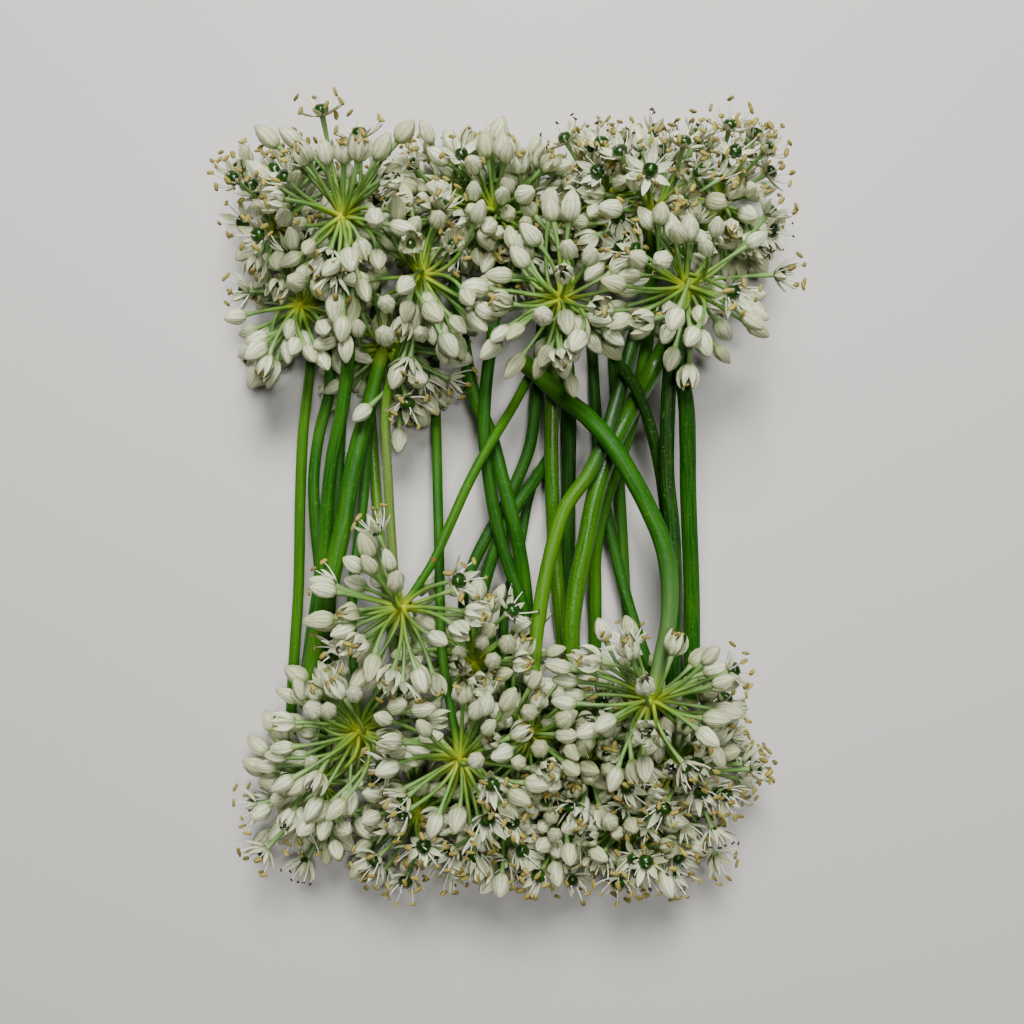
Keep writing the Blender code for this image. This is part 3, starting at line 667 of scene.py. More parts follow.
def skinRings(mesh, rings, closeTop, closeBottom, uvs):
    # bands of faces between rings of points, with u round and v along in the map called grain
    layer = mesh.loops.layers.uv.new("grain")
    verts = [[mesh.verts.new(point) for point in ring] for ring in rings]
    count = len(rings[0])

    def addFace(corners):
        face = mesh.faces.new([vert for vert, _ in corners])
        for loop, (_, uv) in zip(face.loops, corners):
            loop[layer].uv = uv

    for row in range(len(rings) - 1):
        for step in range(count):
            after = (step + 1) % count
            addFace([
                (verts[row][step], (uvs[0][step], uvs[1][row])),
                (verts[row][after], (uvs[0][step + 1], uvs[1][row])),
                (verts[row + 1][after], (uvs[0][step + 1], uvs[1][row + 1])),
                (verts[row + 1][step], (uvs[0][step], uvs[1][row + 1])),
            ])
    for end, row, v in ((closeBottom, 0, uvs[1][0]), (closeTop, -1, uvs[1][-1])):
        tip = mesh.verts.new(end)
        for step in range(count):
            after = (step + 1) % count
            pair = [(verts[row][step], (uvs[0][step], v)), (verts[row][after], (uvs[0][step + 1], v))]
            if row == 0:
                pair.reverse()
            addFace(pair + [(tip, ((uvs[0][step] + uvs[0][step + 1]) / 2, v))])


def roundShape(name, settings, length, top, foot, outAt, bow=0.0, twist=0.0):
    # a shape of rings round Z, whose rows hold a height as a share of the length and a radius
    mesh = bmesh.new()
    rings = []
    sides = settings["sides"]
    for height, radius in settings["rows"]:
        middle = bow * math.sin(math.pi * height)
        ring = []
        for step in range(sides):
            turn = math.tau * step / sides + math.radians(twist) * height
            out = outAt(height, radius, step, turn)
            place = (middle + out * math.cos(turn), out * math.sin(turn), height * length)
            ring.append(Vector(place) * mm)
        rings.append(ring)
    around = [step / sides for step in range(sides + 1)]
    heights = [height for height, _ in settings["rows"]]
    skinRings(mesh, rings, (0, 0, top * mm), (0, 0, foot * mm), (around, heights))
    return newShape(name, mesh)


budShape = {
    "length": 5.7,
    # height and radius
    "rows": [(0.02, 0.5), (0.13, 1.25), (0.34, 1.82), (0.58, 1.72), (0.8, 1.14), (0.94, 0.5)],
    "sides": 12,
    "groove": 0.1,  # between the six tepals
    "grooveRise": 3,  # the groove has its full depth from a third of the height
    "twist": 16.0,
}


def makeBud(name, settings, plump, deepen):
    def outAt(height, radius, step, turn):
        groove = settings["groove"] * deepen * min(1, height * settings["grooveRise"])
        return radius * plump * (1 - (groove if step % 2 else 0))

    length = settings["length"]
    return roundShape(name, settings, length, length, 0, outAt, twist=settings["twist"])


tepalShape = {
    "length": 5.3,
    # height and half the width
    "rows": [(0.0, 0.30), (0.2, 0.66), (0.42, 0.92), (0.64, 0.78), (0.86, 0.34)],
    "thickness": 0.256,
    "across": [(-1, 1), (-0.55, 0.35), (0, 0), (0.55, 0.35), (1, 1)],  # shares of the half width and cup
}


def makeTepal(name, settings, belly, widen, cup):
    # a boat-shaped blade whose inner side looks toward -X, with its midrib along +Z;
    # cup is how far its edges stand in of the midrib
    mesh = bmesh.new()
    rings = []
    for height, half in settings["rows"]:
        half = half * widen
        out = belly * math.sin(math.pi * height)
        z = height * settings["length"]
        ring = [(out - inward * cup * half, side * half, z) for side, inward in settings["across"]]
        ring.append((out + settings["thickness"], 0, z))
        rings.append([Vector(point) * mm for point in ring])
    tip = Vector((-0.05, 0, settings["length"])) * mm
    foot = Vector((0.05, 0, -0.1)) * mm
    across = [0.0, 0.25, 0.5, 0.75, 1.0, 0.5, 0.0]
    skinRings(mesh, rings, tip, foot, (across, [height for height, _ in settings["rows"]]))
    return newShape(name, mesh, sharp=60)


filamentShape = {
    "length": 5.6,
    "rows": [(0.0, 0.30), (0.3, 0.2), (0.7, 0.145), (1.0, 0.12)],
    "sides": 4,
    "bow": 0.45,
    "ends": 0.05,
}


def makeFilament(name, settings):
    length, ends = settings["length"], settings["ends"]
    return roundShape(name, settings, length, length + ends, -ends, lambda height, radius, step, turn: radius,
                      bow=settings["bow"])


antherShape = {
    "length": 2.05,
    "radius": 0.50,
    "rows": [0.12, 0.4, 0.68, 0.92],
    "sides": 6,
    "waist": 0.2,
    "lobe": 0.15,
}


def makeAnther(name, settings):
    # two lobes side by side with a groove between, along X
    mesh = bmesh.new()
    rings = []
    sides = settings["sides"]
    for height in settings["rows"]:
        radius = settings["radius"] * math.sin(math.pi * (0.12 + 0.76 * height)) ** 0.6
        ring = []
        for step in range(sides):
            turn = math.tau * step / sides
            out = radius * (1.0 - (-settings["lobe"] if step % 3 == 0 else settings["waist"]))
            x = (height - 0.5) * settings["length"]
            ring.append(Vector((x, out * math.cos(turn), out * math.sin(turn))) * mm)
        rings.append(ring)
    half = settings["length"] / 2 * mm
    around = [step / sides for step in range(sides + 1)]
    skinRings(mesh, rings, (half, 0, 0), (-half, 0, 0), (around, settings["rows"]))
    return newShape(name, mesh)


ovaryShape = {
    "height": 2.8,
    "rows": [(0.06, 0.9), (0.3, 1.55), (0.56, 1.7), (0.82, 1.25)],
    "sides": 12,
    "lobes": 0.13,  # depth of the three grooves
    "top": 0.9,
}


def makeOvary(name, settings):
    def outAt(height, radius, step, turn):
        return radius * (1 - settings["lobes"] * (0.5 - 0.5 * math.cos(3 * turn)))

    height = settings["height"]
    return roundShape(name, settings, height, height * settings["top"], 0, outAt)


hubShape = {"radius": 1.45, "flatten": 0.85, "knobs": 0.12, "seed": 4}


def makeHub(name, settings):
    draw = random.Random(settings["seed"])
    mesh = bmesh.new()
    bmesh.ops.create_icosphere(mesh, subdivisions=2, radius=settings["radius"] * mm)
    mesh.loops.layers.uv.new("grain")
    for vert in mesh.verts:
        vert.co *= 1 + draw.uniform(-1, 1) * settings["knobs"]
        vert.co.z *= settings["flatten"]
    return newShape(name, mesh)


shapes = {
    "bud": makeBud("budShape", budShape, 1.0, 1.0),
    "budSlim": makeBud("budSlimShape", budShape, 0.88, 1.3),
    "tepal": makeTepal("tepalShape", tepalShape, 0.35, 1.0, 0.34),
    "cupTepal": makeTepal("cupTepalShape", tepalShape, 1.2, 1.4, 0.5),
    "filament": makeFilament("filamentShape", filamentShape),
    "anther": makeAnther("antherShape", antherShape),
    "ovary": makeOvary("ovaryShape", ovaryShape),
    "hub": makeHub("hubShape", hubShape),
}
print("shapes made")


# Geometry Nodes: one tree sets copies of a shape on points, another draws stalks along curves
def calculated(tree, operation, *values):
    return addNode(tree, "ShaderNodeMath", dict(enumerate(values)), operation=operation).outputs[0]


def scaled(tree, vector, share):
    node = addNode(tree, "ShaderNodeVectorMath", operation="SCALE")
    tree.links.new(vector, node.inputs[0])
    tree.links.new(share, node.inputs["Scale"])
    return node.outputs[0]


def stored(tree, geometry, label, value, kind="FLOAT"):
    return addNode(tree, "GeometryNodeStoreNamedAttribute", {
        "Geometry": geometry, "Name": label, "Value": value}, data_type=kind, domain="POINT").outputs[0]


def makeScatterTree():
    tree, given = newTree("setOnPoints", {
        "Shape": "Object", "Finish": "Material", "Smallest": "Float", "Largest": "Float", "Seed": "Int"})
    turn = addNode(tree, "GeometryNodeInputNamedAttribute", {"Name": "turn"}, data_type="QUATERNION")
    size = addNode(tree, "GeometryNodeInputNamedAttribute", {"Name": "size"}, data_type="FLOAT_VECTOR")
    vary = addNode(tree, "FunctionNodeRandomValue", {
        2: given["Smallest"], 3: given["Largest"], "Seed": given["Seed"]}, data_type="FLOAT")
    scale = scaled(tree, size.outputs["Attribute"], vary.outputs[1])
    shape = addNode(tree, "GeometryNodeObjectInfo", {"Object": given["Shape"], "As Instance": True})
    copies = addNode(tree, "GeometryNodeInstanceOnPoints", {
        "Points": given["Geometry"], "Instance": shape.outputs["Geometry"],
        "Rotation": turn.outputs["Attribute"], "Scale": scale})
    endTree(tree, copies.outputs[0], given["Finish"])
    return tree


def makeStemTree():
    tree, given = newTree("stemAlongCurve", {
        "Sides": "Int", "Ridge Count": "Float", "Ridge Depth": "Float", "Tone": "Float", "Wax": "Float",
        "Wet": "Float", "Head Dusk": "Float", "Foot Dusk": "Float", "Finish": "Material"})
    spline = tree.nodes.new("GeometryNodeSplineParameter").outputs
    path = stored(tree, given["Geometry"], "along", spline["Factor"])
    path = stored(tree, path, "run", spline["Length"])
    circle = addNode(tree, "GeometryNodeCurvePrimitiveCircle", {"Resolution": given["Sides"], "Radius": 1.0})
    place = tree.nodes.new("GeometryNodeInputPosition").outputs[0]
    ring = stored(tree, circle.outputs["Curve"], "ring", place, "FLOAT_VECTOR")
    turn = calculated(tree, "MULTIPLY", spline["Factor"], math.tau)
    wave = calculated(tree, "COSINE", calculated(tree, "MULTIPLY", turn, given["Ridge Count"]))
    swell = calculated(tree, "MULTIPLY_ADD", wave, given["Ridge Depth"], 1.0)
    profile = addNode(tree, "GeometryNodeSetPosition", {
        "Geometry": ring, "Position": scaled(tree, place, swell)})
    radius = tree.nodes.new("GeometryNodeInputRadius")
    tube = addNode(tree, "GeometryNodeCurveToMesh", {
        "Curve": path, "Profile Curve": profile.outputs[0], "Scale": radius.outputs[0], "Fill Caps": True})
    # what dips below the ground is pressed level on it
    parts = addNode(tree, "ShaderNodeSeparateXYZ", {0: place}).outputs
    raised = addNode(tree, "ShaderNodeCombineXYZ", {
        0: parts[0], 1: parts[1], 2: calculated(tree, "MAXIMUM", parts[2], 0.0)})
    solidTube = addNode(tree, "GeometryNodeSetPosition", {
        "Geometry": tube.outputs[0], "Position": raised.outputs[0]})
    body = addNode(tree, "GeometryNodeSetShadeSmooth", {"Geometry": solidTube.outputs[0]}).outputs[0]
    # the amounts of painted shade go on the stalk with its tone, wax and wetness
    for label in ("Tone", "Wax", "Wet", "Head Dusk", "Foot Dusk"):
        body = stored(tree, body, label.lower(), given[label])
    endTree(tree, body, given["Finish"])
    return tree


scatterTree = makeScatterTree()
stemTree = makeStemTree()
varySettings = {"Smallest": 0.94, "Largest": 1.06}  # how far the copies of a shape differ in size


def scatter(name, spots, shape, finish, seed):
    # spots are (place in metres, turn, size, tone, age)
    data = bpy.data.meshes.new(name)
    data.from_pydata([spot[0] for spot in spots], [], [])
    columns = (("turn", "QUATERNION", "value", 1), ("size", "FLOAT_VECTOR", "vector", 2))
    for label, kind, key, column in columns:
        layer = data.attributes.new(label, kind, "POINT")
        layer.data.foreach_set(key, [number for spot in spots for number in spot[column]])
    for label, column in (("tone", 3), ("age", 4)):
        layer = data.attributes.new(label, "FLOAT", "POINT")
        layer.data.foreach_set("value", [spot[column] for spot in spots])
    values = {"Shape": shapes[shape], "Finish": finish, "Seed": seed, **varySettings}
    return grown(addObject(name + "Points", data), scatterTree, values, name)


def stem(name, paths, finish, sides, ridges=(0, 0.0), tone=0.5, wax=0.0, wet=0.0, paintedShade=(0.0, 0.0)):
    # paths are lists of (place in metres, radius in metres)
    curve = bpy.data.curves.new(name + "Path", "CURVE")
    curve.dimensions = "3D"
    curve.twist_mode = "MINIMUM"
    for path in paths:
        spline = curve.splines.new("POLY")
        spline.points.add(len(path) - 1)
        spline.points.foreach_set("co", [number for place, _ in path for number in (*place, 1)])
        spline.points.foreach_set("radius", [radius for _, radius in path])
    values = {
        "Sides": sides, "Ridge Count": float(ridges[0]), "Ridge Depth": ridges[1], "Tone": tone,
        "Wax": wax, "Wet": wet, "Head Dusk": paintedShade[0], "Foot Dusk": paintedShade[1], "Finish": finish}
    return grown(addObject(name + "Path", curve), stemTree, values, name)


# Materials
class Paint:
    # a material in the making, with its colour so far in base
    def __init__(self, name, base, roughness, **fixed):
        self.material = bpy.data.materials.new(name)
        self.material.use_nodes = True
        self.tree = self.material.node_tree
        self.inputs = self.tree.nodes["Principled BSDF"].inputs
        self.inputs["Roughness"].default_value = roughness
        for label, value in fixed.items():
            self.inputs[label.replace("_", " ")].default_value = value
        self.base = base
        self.place = self.node("ShaderNodeTexCoord").outputs["Object"]

    def node(self, kind, values=None, **options):
        return addNode(self.tree, kind, values, **options)

    def read(self, name, output="Fac"):
        # what the geometry carries under a name
        node = self.node("ShaderNodeAttribute", attribute_name=name, attribute_type="GEOMETRY")
        return node.outputs[output]

    def calc(self, operation, *values):
        return calculated(self.tree, operation, *values)

    def times(self, first, second):
        return self.calc("MULTIPLY", first, second)

    def between(self, value, low, high, start=0.0, end=1.0):
        return self.node("ShaderNodeMapRange", {0: value, 1: low, 2: high, 3: start, 4: end}).outputs[0]

    def noise(self, scale, detail=2.0, roughness=0.5, vector=None):
        return self.node("ShaderNodeTexNoise", {
            "Vector": self.place if vector is None else vector, "Scale": scale, "Detail": detail,
            "Roughness": roughness}).outputs[0]

    def grain(self):
        # u round a shape and v along it
        uv = self.node("ShaderNodeUVMap", uv_map="grain").outputs[0]
        return self.node("ShaderNodeSeparateXYZ", {0: uv}).outputs

    def lengthwise(self, stretch):
        # a place on a stalk in which noise becomes streaks
        ring = self.node("ShaderNodeSeparateXYZ", {0: self.read("ring", "Vector")}).outputs
        return self.node("ShaderNodeCombineXYZ", {
            0: ring[0], 1: ring[1], 2: self.times(self.read("run"), stretch)}).outputs[0]

    def ramp(self, value, stops):
        node = self.node("ShaderNodeValToRGB", {0: value})
        marks = node.color_ramp.elements
        marks[0].position, marks[-1].position = stops[0][0], stops[-1][0]
        marks[0].color, marks[-1].color = (*stops[0][1], 1), (*stops[-1][1], 1)
        for place, colour in stops[1:-1]:
            marks.new(place).color = (*colour, 1)
        self.base = node.outputs[0]

    def lay(self, amount, colour):
        # a colour over the base, by an amount of 0 to 1
        values = {0: amount, 6: self.base, 7: colour}
        values = {key: (*value, 1) if isinstance(value, tuple) else value for key, value in values.items()}
        self.base = self.node("ShaderNodeMix", values, data_type="RGBA").outputs[2]

    def cover(self, colour, value, low, high, most=1.0, least=0.0):
        # a colour over the base, from the least to the most as the value goes from low to high
        self.lay(self.between(value, low, high, least, most), colour)

    def done(self, height=None, strength=0.0, distance=0.0):
        # the base colour and the fine relief go to the shader
        self.tree.links.new(self.base, self.inputs["Base Color"])
        if height is not None:
            relief = self.node("ShaderNodeBump", {
                "Height": height, "Strength": strength, "Distance": distance})
            self.tree.links.new(relief.outputs[0], self.inputs["Normal"])
        return self.material


petalLook = {
    "white": (0.63, 0.67, 0.46),
    "cream": (0.44, 0.47, 0.27),
    "vein": (0.14, 0.20, 0.055),
    "marginAndGrooveShade": (0.22, 0.27, 0.12),
    "foot": (0.13, 0.24, 0.02),
    "tip": (0.40, 0.36, 0.20),
    "midribShare": 0.5,
    "veinShare": 0.24,
    "marginAndGrooveShadeShare": 0.6,
    "wander": 1.6,  # how far the veins stray, in radians
    "roughness": 0.5,
}


def makePetalFinish(name, look, tepals, turn):
    # veins run along v, with a midrib on each of the tepals that u goes round
    paint = Paint(name, look["white"], look["roughness"], Subsurface_Weight=0.08, Subsurface_Scale=0.001)
    u, v, _ = paint.grain()
    wander = look["wander"]
    drift = paint.between(paint.noise(420.0, 1.0), 0.0, 1.0, turn - wander, turn + wander)
    angle = paint.calc("ADD", paint.times(u, math.tau * tepals), drift)
    ribs = paint.calc("COSINE", angle)
    fine = paint.calc("COSINE", paint.times(angle, 3.0))
    patches = paint.noise(650.0)
    strength = paint.between(patches, 0.3, 0.62, 0.3, 1.0)
    paint.cover(look["cream"], paint.read("tone"), 0.3, 1.0)
    paint.cover(look["cream"], patches, 0.45, 0.7, 0.4)
    for lines, sharp, share in ((ribs, 0.84, look["midribShare"]), (fine, 0.5, look["veinShare"])):
        paint.lay(paint.times(paint.between(lines, sharp, 1.0, 0.0, share), strength), look["vein"])
    # darker tepal margins; on buds these lines lie in the grooves between tepals and are also painted shade
    paint.cover(look["marginAndGrooveShade"], ribs, -0.75, -1.0, look["marginAndGrooveShadeShare"])
    paint.cover(look["foot"], v, 0.24, 0.0, 0.95)
    paint.cover(look["tip"], v, 0.84, 1.0, 0.6)
    height = paint.calc("ADD", ribs, paint.times(fine, 0.5))
    return paint.done(paint.calc("ADD", height, patches), 0.5, 0.00012)


filamentLook = {
    "stops": [(0.0, (0.42, 0.52, 0.28)), (0.25, (0.70, 0.72, 0.62)), (1.0, (0.66, 0.65, 0.54))],
    "grain": (0.46, 0.48, 0.36),
}


def makeFilamentFinish(look):
    paint = Paint("filamentWhite", None, 0.45)
    paint.ramp(paint.grain()[1], look["stops"])
    grain = paint.noise(2500.0)
    paint.cover(look["grain"], grain, 0.4, 0.8, 0.3)
    return paint.done(grain, 0.2, 0.0001)


antherLook = {
    "fresh": (0.33, 0.27, 0.045),
    "ochre": (0.12, 0.09, 0.014),
    "old": (0.02, 0.016, 0.010),
    "pollen": (0.42, 0.36, 0.10),
}


def makeAntherFinish(look):
    paint = Paint("antherOchre", look["fresh"], 0.75)
    paint.lay(paint.read("tone"), look["ochre"])
    grains = paint.noise(5200.0)
    paint.cover(look["pollen"], grains, 0.5, 0.72)
    paint.cover(look["old"], paint.read("age"), 0.75, 0.8)
    return paint.done(grains, 0.5, 0.0001)


ovaryLook = {"deep": (0.003, 0.018, 0.001), "fresh": (0.009, 0.048, 0.002), "groove": (0.035, 0.08, 0.01)}


def makeOvaryFinish(look):
    paint = Paint("ovaryGreen", look["deep"], 0.22, Specular_IOR_Level=0.4)
    paint.lay(paint.read("tone"), look["fresh"])
    mottle = paint.noise(900.0, 3.0)
    paint.cover(look["fresh"], mottle, 0.4, 0.7, 0.6)
    waves = paint.calc("COSINE", paint.times(paint.grain()[0], 3 * math.tau))
    paint.cover(look["groove"], waves, -0.75, -1.0, 0.5)
    return paint.done(mottle, 0.15, 0.0003)


pedicelLook = {
    "stops": [
        (0.0, (0.36, 0.37, 0.004)), (0.12, (0.27, 0.36, 0.008)), (0.3, (0.15, 0.29, 0.024)),
        (0.6, (0.11, 0.24, 0.036)), (0.9, (0.16, 0.31, 0.08)), (1.0, (0.22, 0.34, 0.12)),
    ],
    "dark": (0.026, 0.075, 0.009),
    "light": (0.26, 0.37, 0.14),
    "roughness": 0.48,
}


def makePedicelFinish(look):
    paint = Paint("pedicelGreen", None, look["roughness"])
    share = paint.read("along")
    paint.ramp(share, look["stops"])
    dim = paint.between(paint.noise(260.0), 0.45, 0.7, 0.0, 0.55)
    paint.lay(paint.times(dim, paint.between(share, 0.1, 0.4)), look["dark"])
    streaks = paint.noise(3.5, vector=paint.lengthwise(60.0))
    paint.cover(look["light"], streaks, 0.5, 0.75, 0.35)
    return paint.done(streaks, 0.3, 0.0002)


stalkLook = {
    "dark": (0.0, 0.018, 0.0),
    "green": (0.007, 0.082, 0.0),
    "lime": (0.075, 0.215, 0.0),
    "pale": (0.15, 0.25, 0.04),
    "olive": (0.13, 0.21, 0.045),  # of tones over 1
    "wax": (0.082, 0.160, 0.046),
    "waxReach": (0.38, 0.12),  # the bloom fades along this share of the stalk, down from the head
    # painted shade: shares of the stalk over which it is darkened toward its head, and toward its cut end
    "headPaintedShade": (0.42, 0.22),
    "footPaintedShade": (0.58, 0.76),
    "cut": (0.30, 0.36, 0.13),
    "neck": (0.18, 0.26, 0.01),
    "blemish": (0.22, 0.04, 0.01),
    "blemishAt": (-16.5, -10.0, 0.0),  # a reddish fleck under one head, seen from above
    "dry": (0.5, 0.64),  # roughness from ridge to hollow
    "damp": 0.33,
}


def makeStalkFinish(name, look, shine):
    paint = Paint(name, None, look["dry"][0], Specular_IOR_Level=shine)
    share = paint.read("along")
    clouds = paint.noise(38.0)
    shade = paint.calc("ADD", paint.read("tone"), paint.between(clouds, 0.3, 0.7, -0.16, 0.16))
    # painted shade: the colour darkens toward the head and the cut end, where heads shade the stalk
    for label, span in (("head dusk", look["headPaintedShade"]), ("foot dusk", look["footPaintedShade"])):
        lost = paint.times(paint.read(label), paint.between(share, *span))
        shade = paint.calc("SUBTRACT", shade, lost)
    paint.ramp(shade, [(0.0, look["dark"]), (0.45, look["green"]), (1.0, look["lime"])])
    paint.cover(look["olive"], shade, 0.95, 1.3)
    streaks = paint.noise(7.0, 3.0, 0.6, paint.lengthwise(14.0))
    paint.cover(look["lime"], streaks, 0.5, 0.72, 0.4)
    paint.cover(look["dark"], streaks, 0.5, 0.3, 0.6)
    paint.cover(look["pale"], paint.noise(1500.0, 1.0), 0.62, 0.75, 0.25)
    waxed = paint.times(paint.read("wax"), paint.between(share, *look["waxReach"]))
    paint.lay(paint.times(waxed, paint.between(clouds, 0.35, 0.6, 0.6, 1.0)), look["wax"])
    paint.cover(look["neck"], share, 0.06, 0.0, 0.8)
    paint.cover(look["cut"], share, 0.985, 0.996)
    level = paint.node("ShaderNodeVectorMath", {0: paint.place, 1: (1, 1, 0)}, operation="MULTIPLY")
    spot = paint.node("ShaderNodeVectorMath", {0: level.outputs[0], 1: toFrame(look["blemishAt"])},
                      operation="DISTANCE").outputs["Value"]
    paint.cover(look["blemish"], spot, 0.0006, 0.0002, 0.8)
    pebbles = paint.noise(1900.0, 1.0)
    wetness = paint.times(paint.read("wet"), paint.between(pebbles, 0.4, 0.55, 0.3, 1.0))
    rough = paint.between(streaks, 0.35, 0.65, *look["dry"])
    rough = paint.calc("SUBTRACT", rough, paint.times(wetness, look["damp"]))
    paint.tree.links.new(rough, paint.inputs["Roughness"])
    return paint.done(paint.calc("ADD", paint.times(pebbles, 0.6), streaks), 0.35, 0.00015)


def makeFloorFinish():
    paint = Paint("paleFloor", (0.50, 0.49, 0.48), 0.6)
    paint.lay(paint.noise(6.0), (0.54, 0.53, 0.52))
    return paint.done()


finishes = {
    "bud": makePetalFinish("budWhite", petalLook, 6, 0.0),
    "tepal": makePetalFinish("tepalWhite", petalLook, 1, math.pi),
    "filament": makeFilamentFinish(filamentLook),
    "anther": makeAntherFinish(antherLook),
    "ovary": makeOvaryFinish(ovaryLook),
    "pedicel": makePedicelFinish(pedicelLook),
    "stalk": makeStalkFinish("stalkGreen", stalkLook, 0.2),
    "wetStalk": makeStalkFinish("wetStalkGreen", stalkLook, 0.5),
}
print("materials made")


# Stalks
stalkSettings = {
    "points": 84,
    "sides": 18,
    "ridges": (3, 0.035),
    "girth": 1.02,  # of the width in the solid model, whose stalks are six-sided
    "topWidth": 0.72,
    "taperLength": 0.3,
    "hubWidth": 1.05,  # the stalk widens again where it meets the hub
    "hubReach": 0.035,
    "sharp": 50,
}


def makeStalk(number, one, line, settings):
    points = smoothRoute(line, settings["points"])[1:]
    path = []
    for step, place in enumerate(points):
        share = step / (len(points) - 1)
        tapered = min(1, share / settings["taperLength"])
        width = settings["topWidth"] + (1 - settings["topWidth"]) * tapered
        width += (settings["hubWidth"] - width) * max(0, 1 - share / settings["hubReach"])
        path.append((toFrame(place), one["width"] / 2 * width * settings["girth"] * mm))
    finish = finishes["wetStalk" if one["wet"] else "stalk"]
    piece = stem(f"stalk_{number:02d}", [path], finish, settings["sides"], settings["ridges"],
                 tone=one["tone"], wax=one["wax"], wet=one["wet"], paintedShade=one["paintedShade"])
    piece.data.set_sharp_from_angle(angle=math.radians(settings["sharp"]))
    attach(piece, "root")
    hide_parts(f"scape_{number:02d}")


for number, (one, line) in enumerate(zip(flowers, lines), start=1):
    makeStalk(number, one, line, stalkSettings)
print("stalks made")

# Heads
headSettings = {
    "pedicelPoints": 9,
    "pedicelSides": 6,
    "pedicelWidths": [(0.0, 0.62), (0.15, 0.46), (0.8, 0.40), (0.95, 0.52), (1.0, 0.66)],
    "pedicelEnd": 0.25,  # how far it reaches into its floret
    "roundShare": 0.6,  # share of buds that are of the rounder kind
    "budLength": (0.94, 1.16),
    "budWidth": (0.96, 1.1),
    "cupShare": 0.08,
    "innerLean": 3,
    "tepalFoot": (0.62, 0.14),  # how far out a tepal starts, and how much nearer the inner three do
    "bareShare": 0.65,  # share of a half-open bud's filaments that stay hidden
    "oldShare": 0.12,  # share of open flowers whose anthers have shrivelled
    "oldSize": 0.55,
    "sway": 60,
    "styleRise": 1.6,
    "lowestTip": 0.9,
    "lowestPoint": 0.00003,
}
# angles in degrees, between an open flower's tepals and its axis; the rest in shares of a shape's size
openLook = {
    "openness": (36, 70), "jitter": 13.0, "ovary": (1, 1, 1), "tepalLength": (0.8, 1.08),
    "tepalWidth": (0.75, 1.1)}
cupLook = {
    "openness": (6, 20), "jitter": 6.5, "ovary": (0.62, 0.62, 0.7), "tepalLength": (0.92, 1.06),
    "tepalWidth": (0.9, 1.08)}


def turned(axis, spin):
    # the turn that takes +Z to the axis, after a spin about it
    return Vector((0, 0, 1)).rotation_difference(axis) @ Quaternion((0, 0, 1), spin)


def addBlade(spots, floret, whole, tilt, spin, length, reach, size, tone, age, settings):
    # one tepal or filament, held clear of the ground
    spun = whole @ Quaternion((0, 0, 1), spin)
    start = floret["base"] + spun @ Vector((reach, 0, 0.25))
    turn = spun @ Quaternion((0, 1, 0), math.radians(tilt))
    way = turn @ Vector((0, 0, 1))
    rise = (settings["lowestTip"] - start.z) / length
    if way.z < rise:
        flat = Vector((way.x, way.y, 0)).normalized() * math.sqrt(max(0, 1 - min(rise, 1) ** 2))
        lifted = Vector((flat.x, flat.y, min(rise, 1)))
        turn = way.rotation_difference(lifted) @ turn
        way = lifted
    spots.append((toFrame(start), turn, size, tone, age))
    return start + way * length, turn


def settle(piece, lowest):
    # what still dips below the ground is pressed level on it
    places = np.empty(len(piece.data.vertices) * 3, np.float32)
    piece.data.vertices.foreach_get("co", places)
    places[2::3] = np.maximum(places[2::3], lowest)
    piece.data.vertices.foreach_set("co", places)
    piece.data.update()


def dressFloret(floret, draw, parts, settings, cupShare):
    cup = floret["kind"] == "bud"
    tone = draw.random()
    whole = turned(floret["axis"], draw.uniform(0, math.tau))
    if cup and draw.random() > cupShare:
        size = draw.uniform(*settings["budLength"])
        shape = "bud" if draw.random() < settings["roundShare"] else "budSlim"
        wide = size * draw.uniform(*settings["budWidth"])
        parts[shape].append((toFrame(floret["base"]), whole, (wide, wide, size), tone, 0.0))
        return
    look = cupLook if cup else openLook
    age = draw.random()
    openness = draw.uniform(*look["openness"])
    jitter = look["jitter"]
    foot, nearer = settings["tepalFoot"]
    parts["ovary"].append((
        toFrame(floret["base"] + floret["axis"] * 0.1), whole, look["ovary"], tone, 0.0))
    for blade in range(6):
        inner = blade % 2  # three tepals stand inside the other three
        spin = math.tau * blade / 6 + math.radians(draw.uniform(-jitter, jitter))
        tilt = openness + draw.uniform(-jitter, jitter) - settings["innerLean"] * inner
        long = draw.uniform(*look["tepalLength"])
        wide = draw.uniform(*look["tepalWidth"])
        addBlade(parts["cupTepal" if cup else "tepal"], floret, whole, tilt, spin,
                 tepalShape["length"] * long, foot - nearer * inner, (wide, wide, long), tone, age, settings)
        if cup and draw.random() < settings["bareShare"]:
            continue
        lean = draw.uniform(2, 9) if cup else openness * draw.uniform(0.5, 1.0)
        long = 0.8 if cup else draw.uniform(0.85, 1.12)
        tip, turn = addBlade(parts["filament"], floret, whole, lean, spin + math.pi / 6,
                             filamentShape["length"] * long, 0.5, (1, 1, long), tone, age, settings)
        old = age > 1 - settings["oldShare"]
        size = (settings["oldSize"],) * 3 if old else (1, 1, 1)
        swing = [draw.uniform(-1, 1) for _ in range(3)]
        sway = Quaternion(swing, math.radians(draw.uniform(0, settings["sway"])))
        parts["anther"].append((toFrame(tip), turn @ sway, size, draw.random(), float(old)))
    style = toFrame(floret["base"] + floret["axis"] * settings["styleRise"])
    parts["filament"].append((style, whole, (0.9, 0.9, 0.5), tone, age))


def pedicelPath(floret, settings):
    path = []
    ends, widths = zip(*settings["pedicelWidths"])
    foot = floret["base"] + floret["axis"] * settings["pedicelEnd"]
    for share in np.linspace(0, 1, settings["pedicelPoints"]):
        place = floret["root"] * (1 - share) ** 2 + floret["bend"] * 2 * share * (1 - share) + foot * share**2
        path.append((toFrame(place), float(np.interp(share, ends, widths)) * mm))
    return path


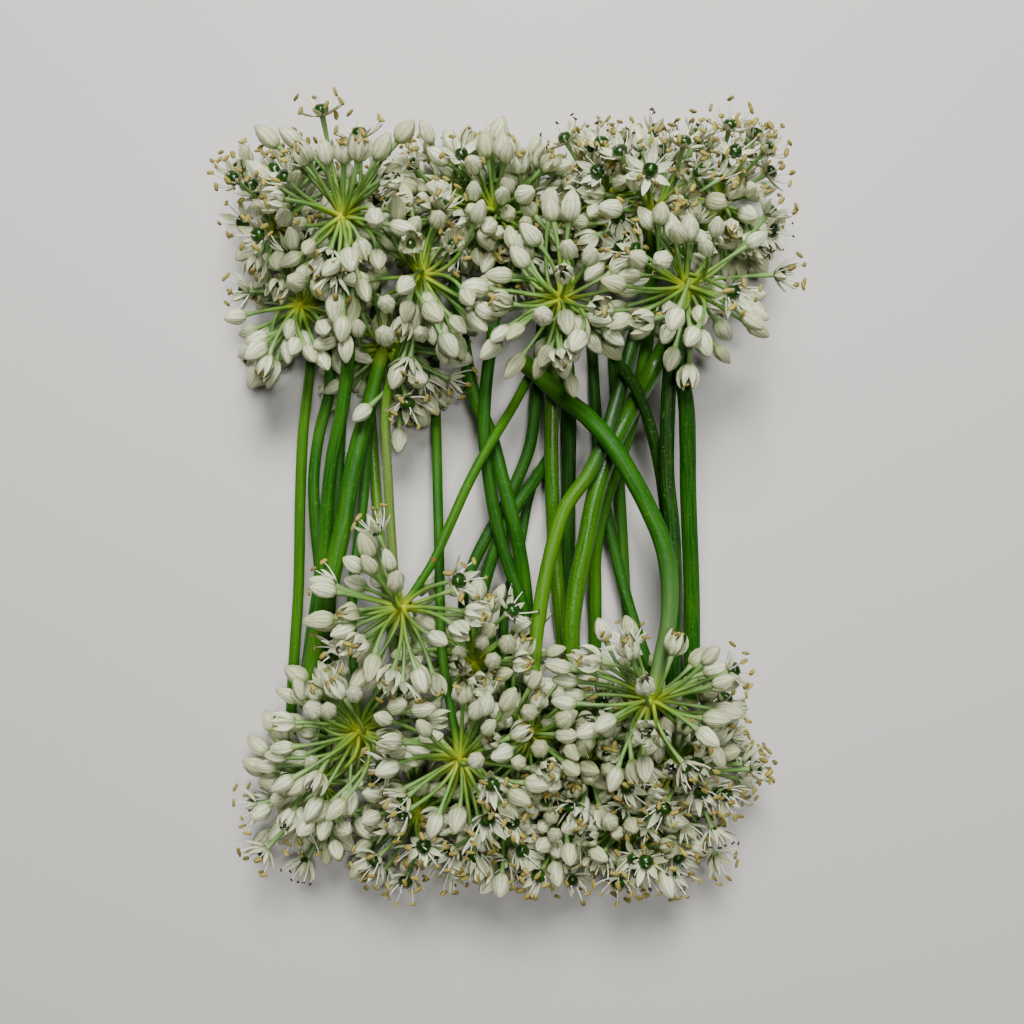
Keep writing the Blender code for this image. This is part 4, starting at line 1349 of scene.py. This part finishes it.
def makeHead(head, settings):
    number = head["owner"] + 1
    draw = random.Random(900 + number)
    centre = Vector(head["centre"])
    for floret in head["all"]:
        floret["root"] = centre + (floret["root"] - centre).normalized() * filling["rootOut"]
    parts = {"bud": [], "budSlim": [], "tepal": [], "cupTepal": [], "filament": [], "anther": [], "ovary": []}
    cupShare = filling["halfOpen"] * head["one"]["opened"] + settings["cupShare"]
    for floret in head["all"]:
        dressFloret(floret, draw, parts, settings, cupShare)
    looks = {"budSlim": "bud", "cupTepal": "tepal"}
    made = []
    for place, (shape, spots) in enumerate(parts.items()):
        if spots:
            finish = finishes[looks.get(shape, shape)]
            made.append(scatter(f"{shape}_{number:02d}", spots, shape, finish, 10 * number + place))
    florets = joined(made, f"florets_{number:02d}")
    settle(florets, settings["lowestPoint"])
    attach(florets, "root")
    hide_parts(f"umbel_{number:02d}")
    paths = [pedicelPath(floret, settings) for floret in head["all"]]
    stems = stem(f"pedicels_{number:02d}", paths, finishes["pedicel"], settings["pedicelSides"])
    up = turned(-Vector(stepDown(lines[head["owner"]])), 0)
    spot = (toFrame(head["centre"]), up, (1, 1, 1), 0.5, 0.0)
    hub = scatter(f"hub_{number:02d}", [spot], "hub", finishes["pedicel"], number)
    pedicels = joined([stems, hub], f"pedicels_{number:02d}")
    settle(pedicels, settings["lowestPoint"])
    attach(pedicels, "root")
    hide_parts(f"umbel_{number:02d}")


for head in heads:
    makeHead(head, headSettings)
for shape in shapes.values():
    bpy.data.objects.remove(shape)
print("heads made")

# Floor, lights and camera
stageSettings = {
    "floorSize": 1.5,
    "floorDrop": 0.00005,
    "cameraHeight": 0.282,
    "lens": 42.93,
    "sensor": 36.0,
    "nearest": 0.01,
    "keyLight": ((0.0, 0.40, 0.62), 0.3, 10.0),  # place, size and power
    "overheadLight": ((0.12, 0.03, 0.95), 0.14, 3.8),
    "lightTint": (1.0, 0.985, 0.94),
    "worldTint": (1.0, 0.99, 0.97, 1),
    "worldStrength": 0.035,
}


def makeLight(name, place, size, power):
    light = bpy.data.lights.new(name, "AREA")
    light.shape = "DISK"
    light.size = size
    light.energy = power
    light.color = stageSettings["lightTint"]
    lamp = addObject(name, light)
    lamp.location = place
    lamp.rotation_euler = (-Vector(place)).to_track_quat("-Z", "Y").to_euler()


def makeStage(settings):
    mesh = bmesh.new()
    bmesh.ops.create_grid(mesh, x_segments=1, y_segments=1, size=settings["floorSize"])
    data = bpy.data.meshes.new("floor")
    mesh.to_mesh(data)
    mesh.free()
    data.materials.append(makeFloorFinish())
    floor = addObject("floor", data)
    floor.location.z = -settings["floorDrop"]
    world = bpy.data.worlds.new("softRoom")
    world.use_nodes = True
    air = world.node_tree.nodes["Background"].inputs
    air["Color"].default_value = settings["worldTint"]
    air["Strength"].default_value = settings["worldStrength"]
    bpy.context.scene.world = world
    for name in ("keyLight", "overheadLight"):
        makeLight(name, *settings[name])
    camera = bpy.data.cameras.new("camera")
    camera.lens = settings["lens"]
    camera.sensor_width = settings["sensor"]
    camera.clip_start = settings["nearest"]
    eye = addObject("camera", camera)
    eye.location = (-layout["centre"][0] * mm, -layout["centre"][1] * mm, settings["cameraHeight"])
    bpy.context.scene.camera = eye


makeStage(stageSettings)
print("stage made")
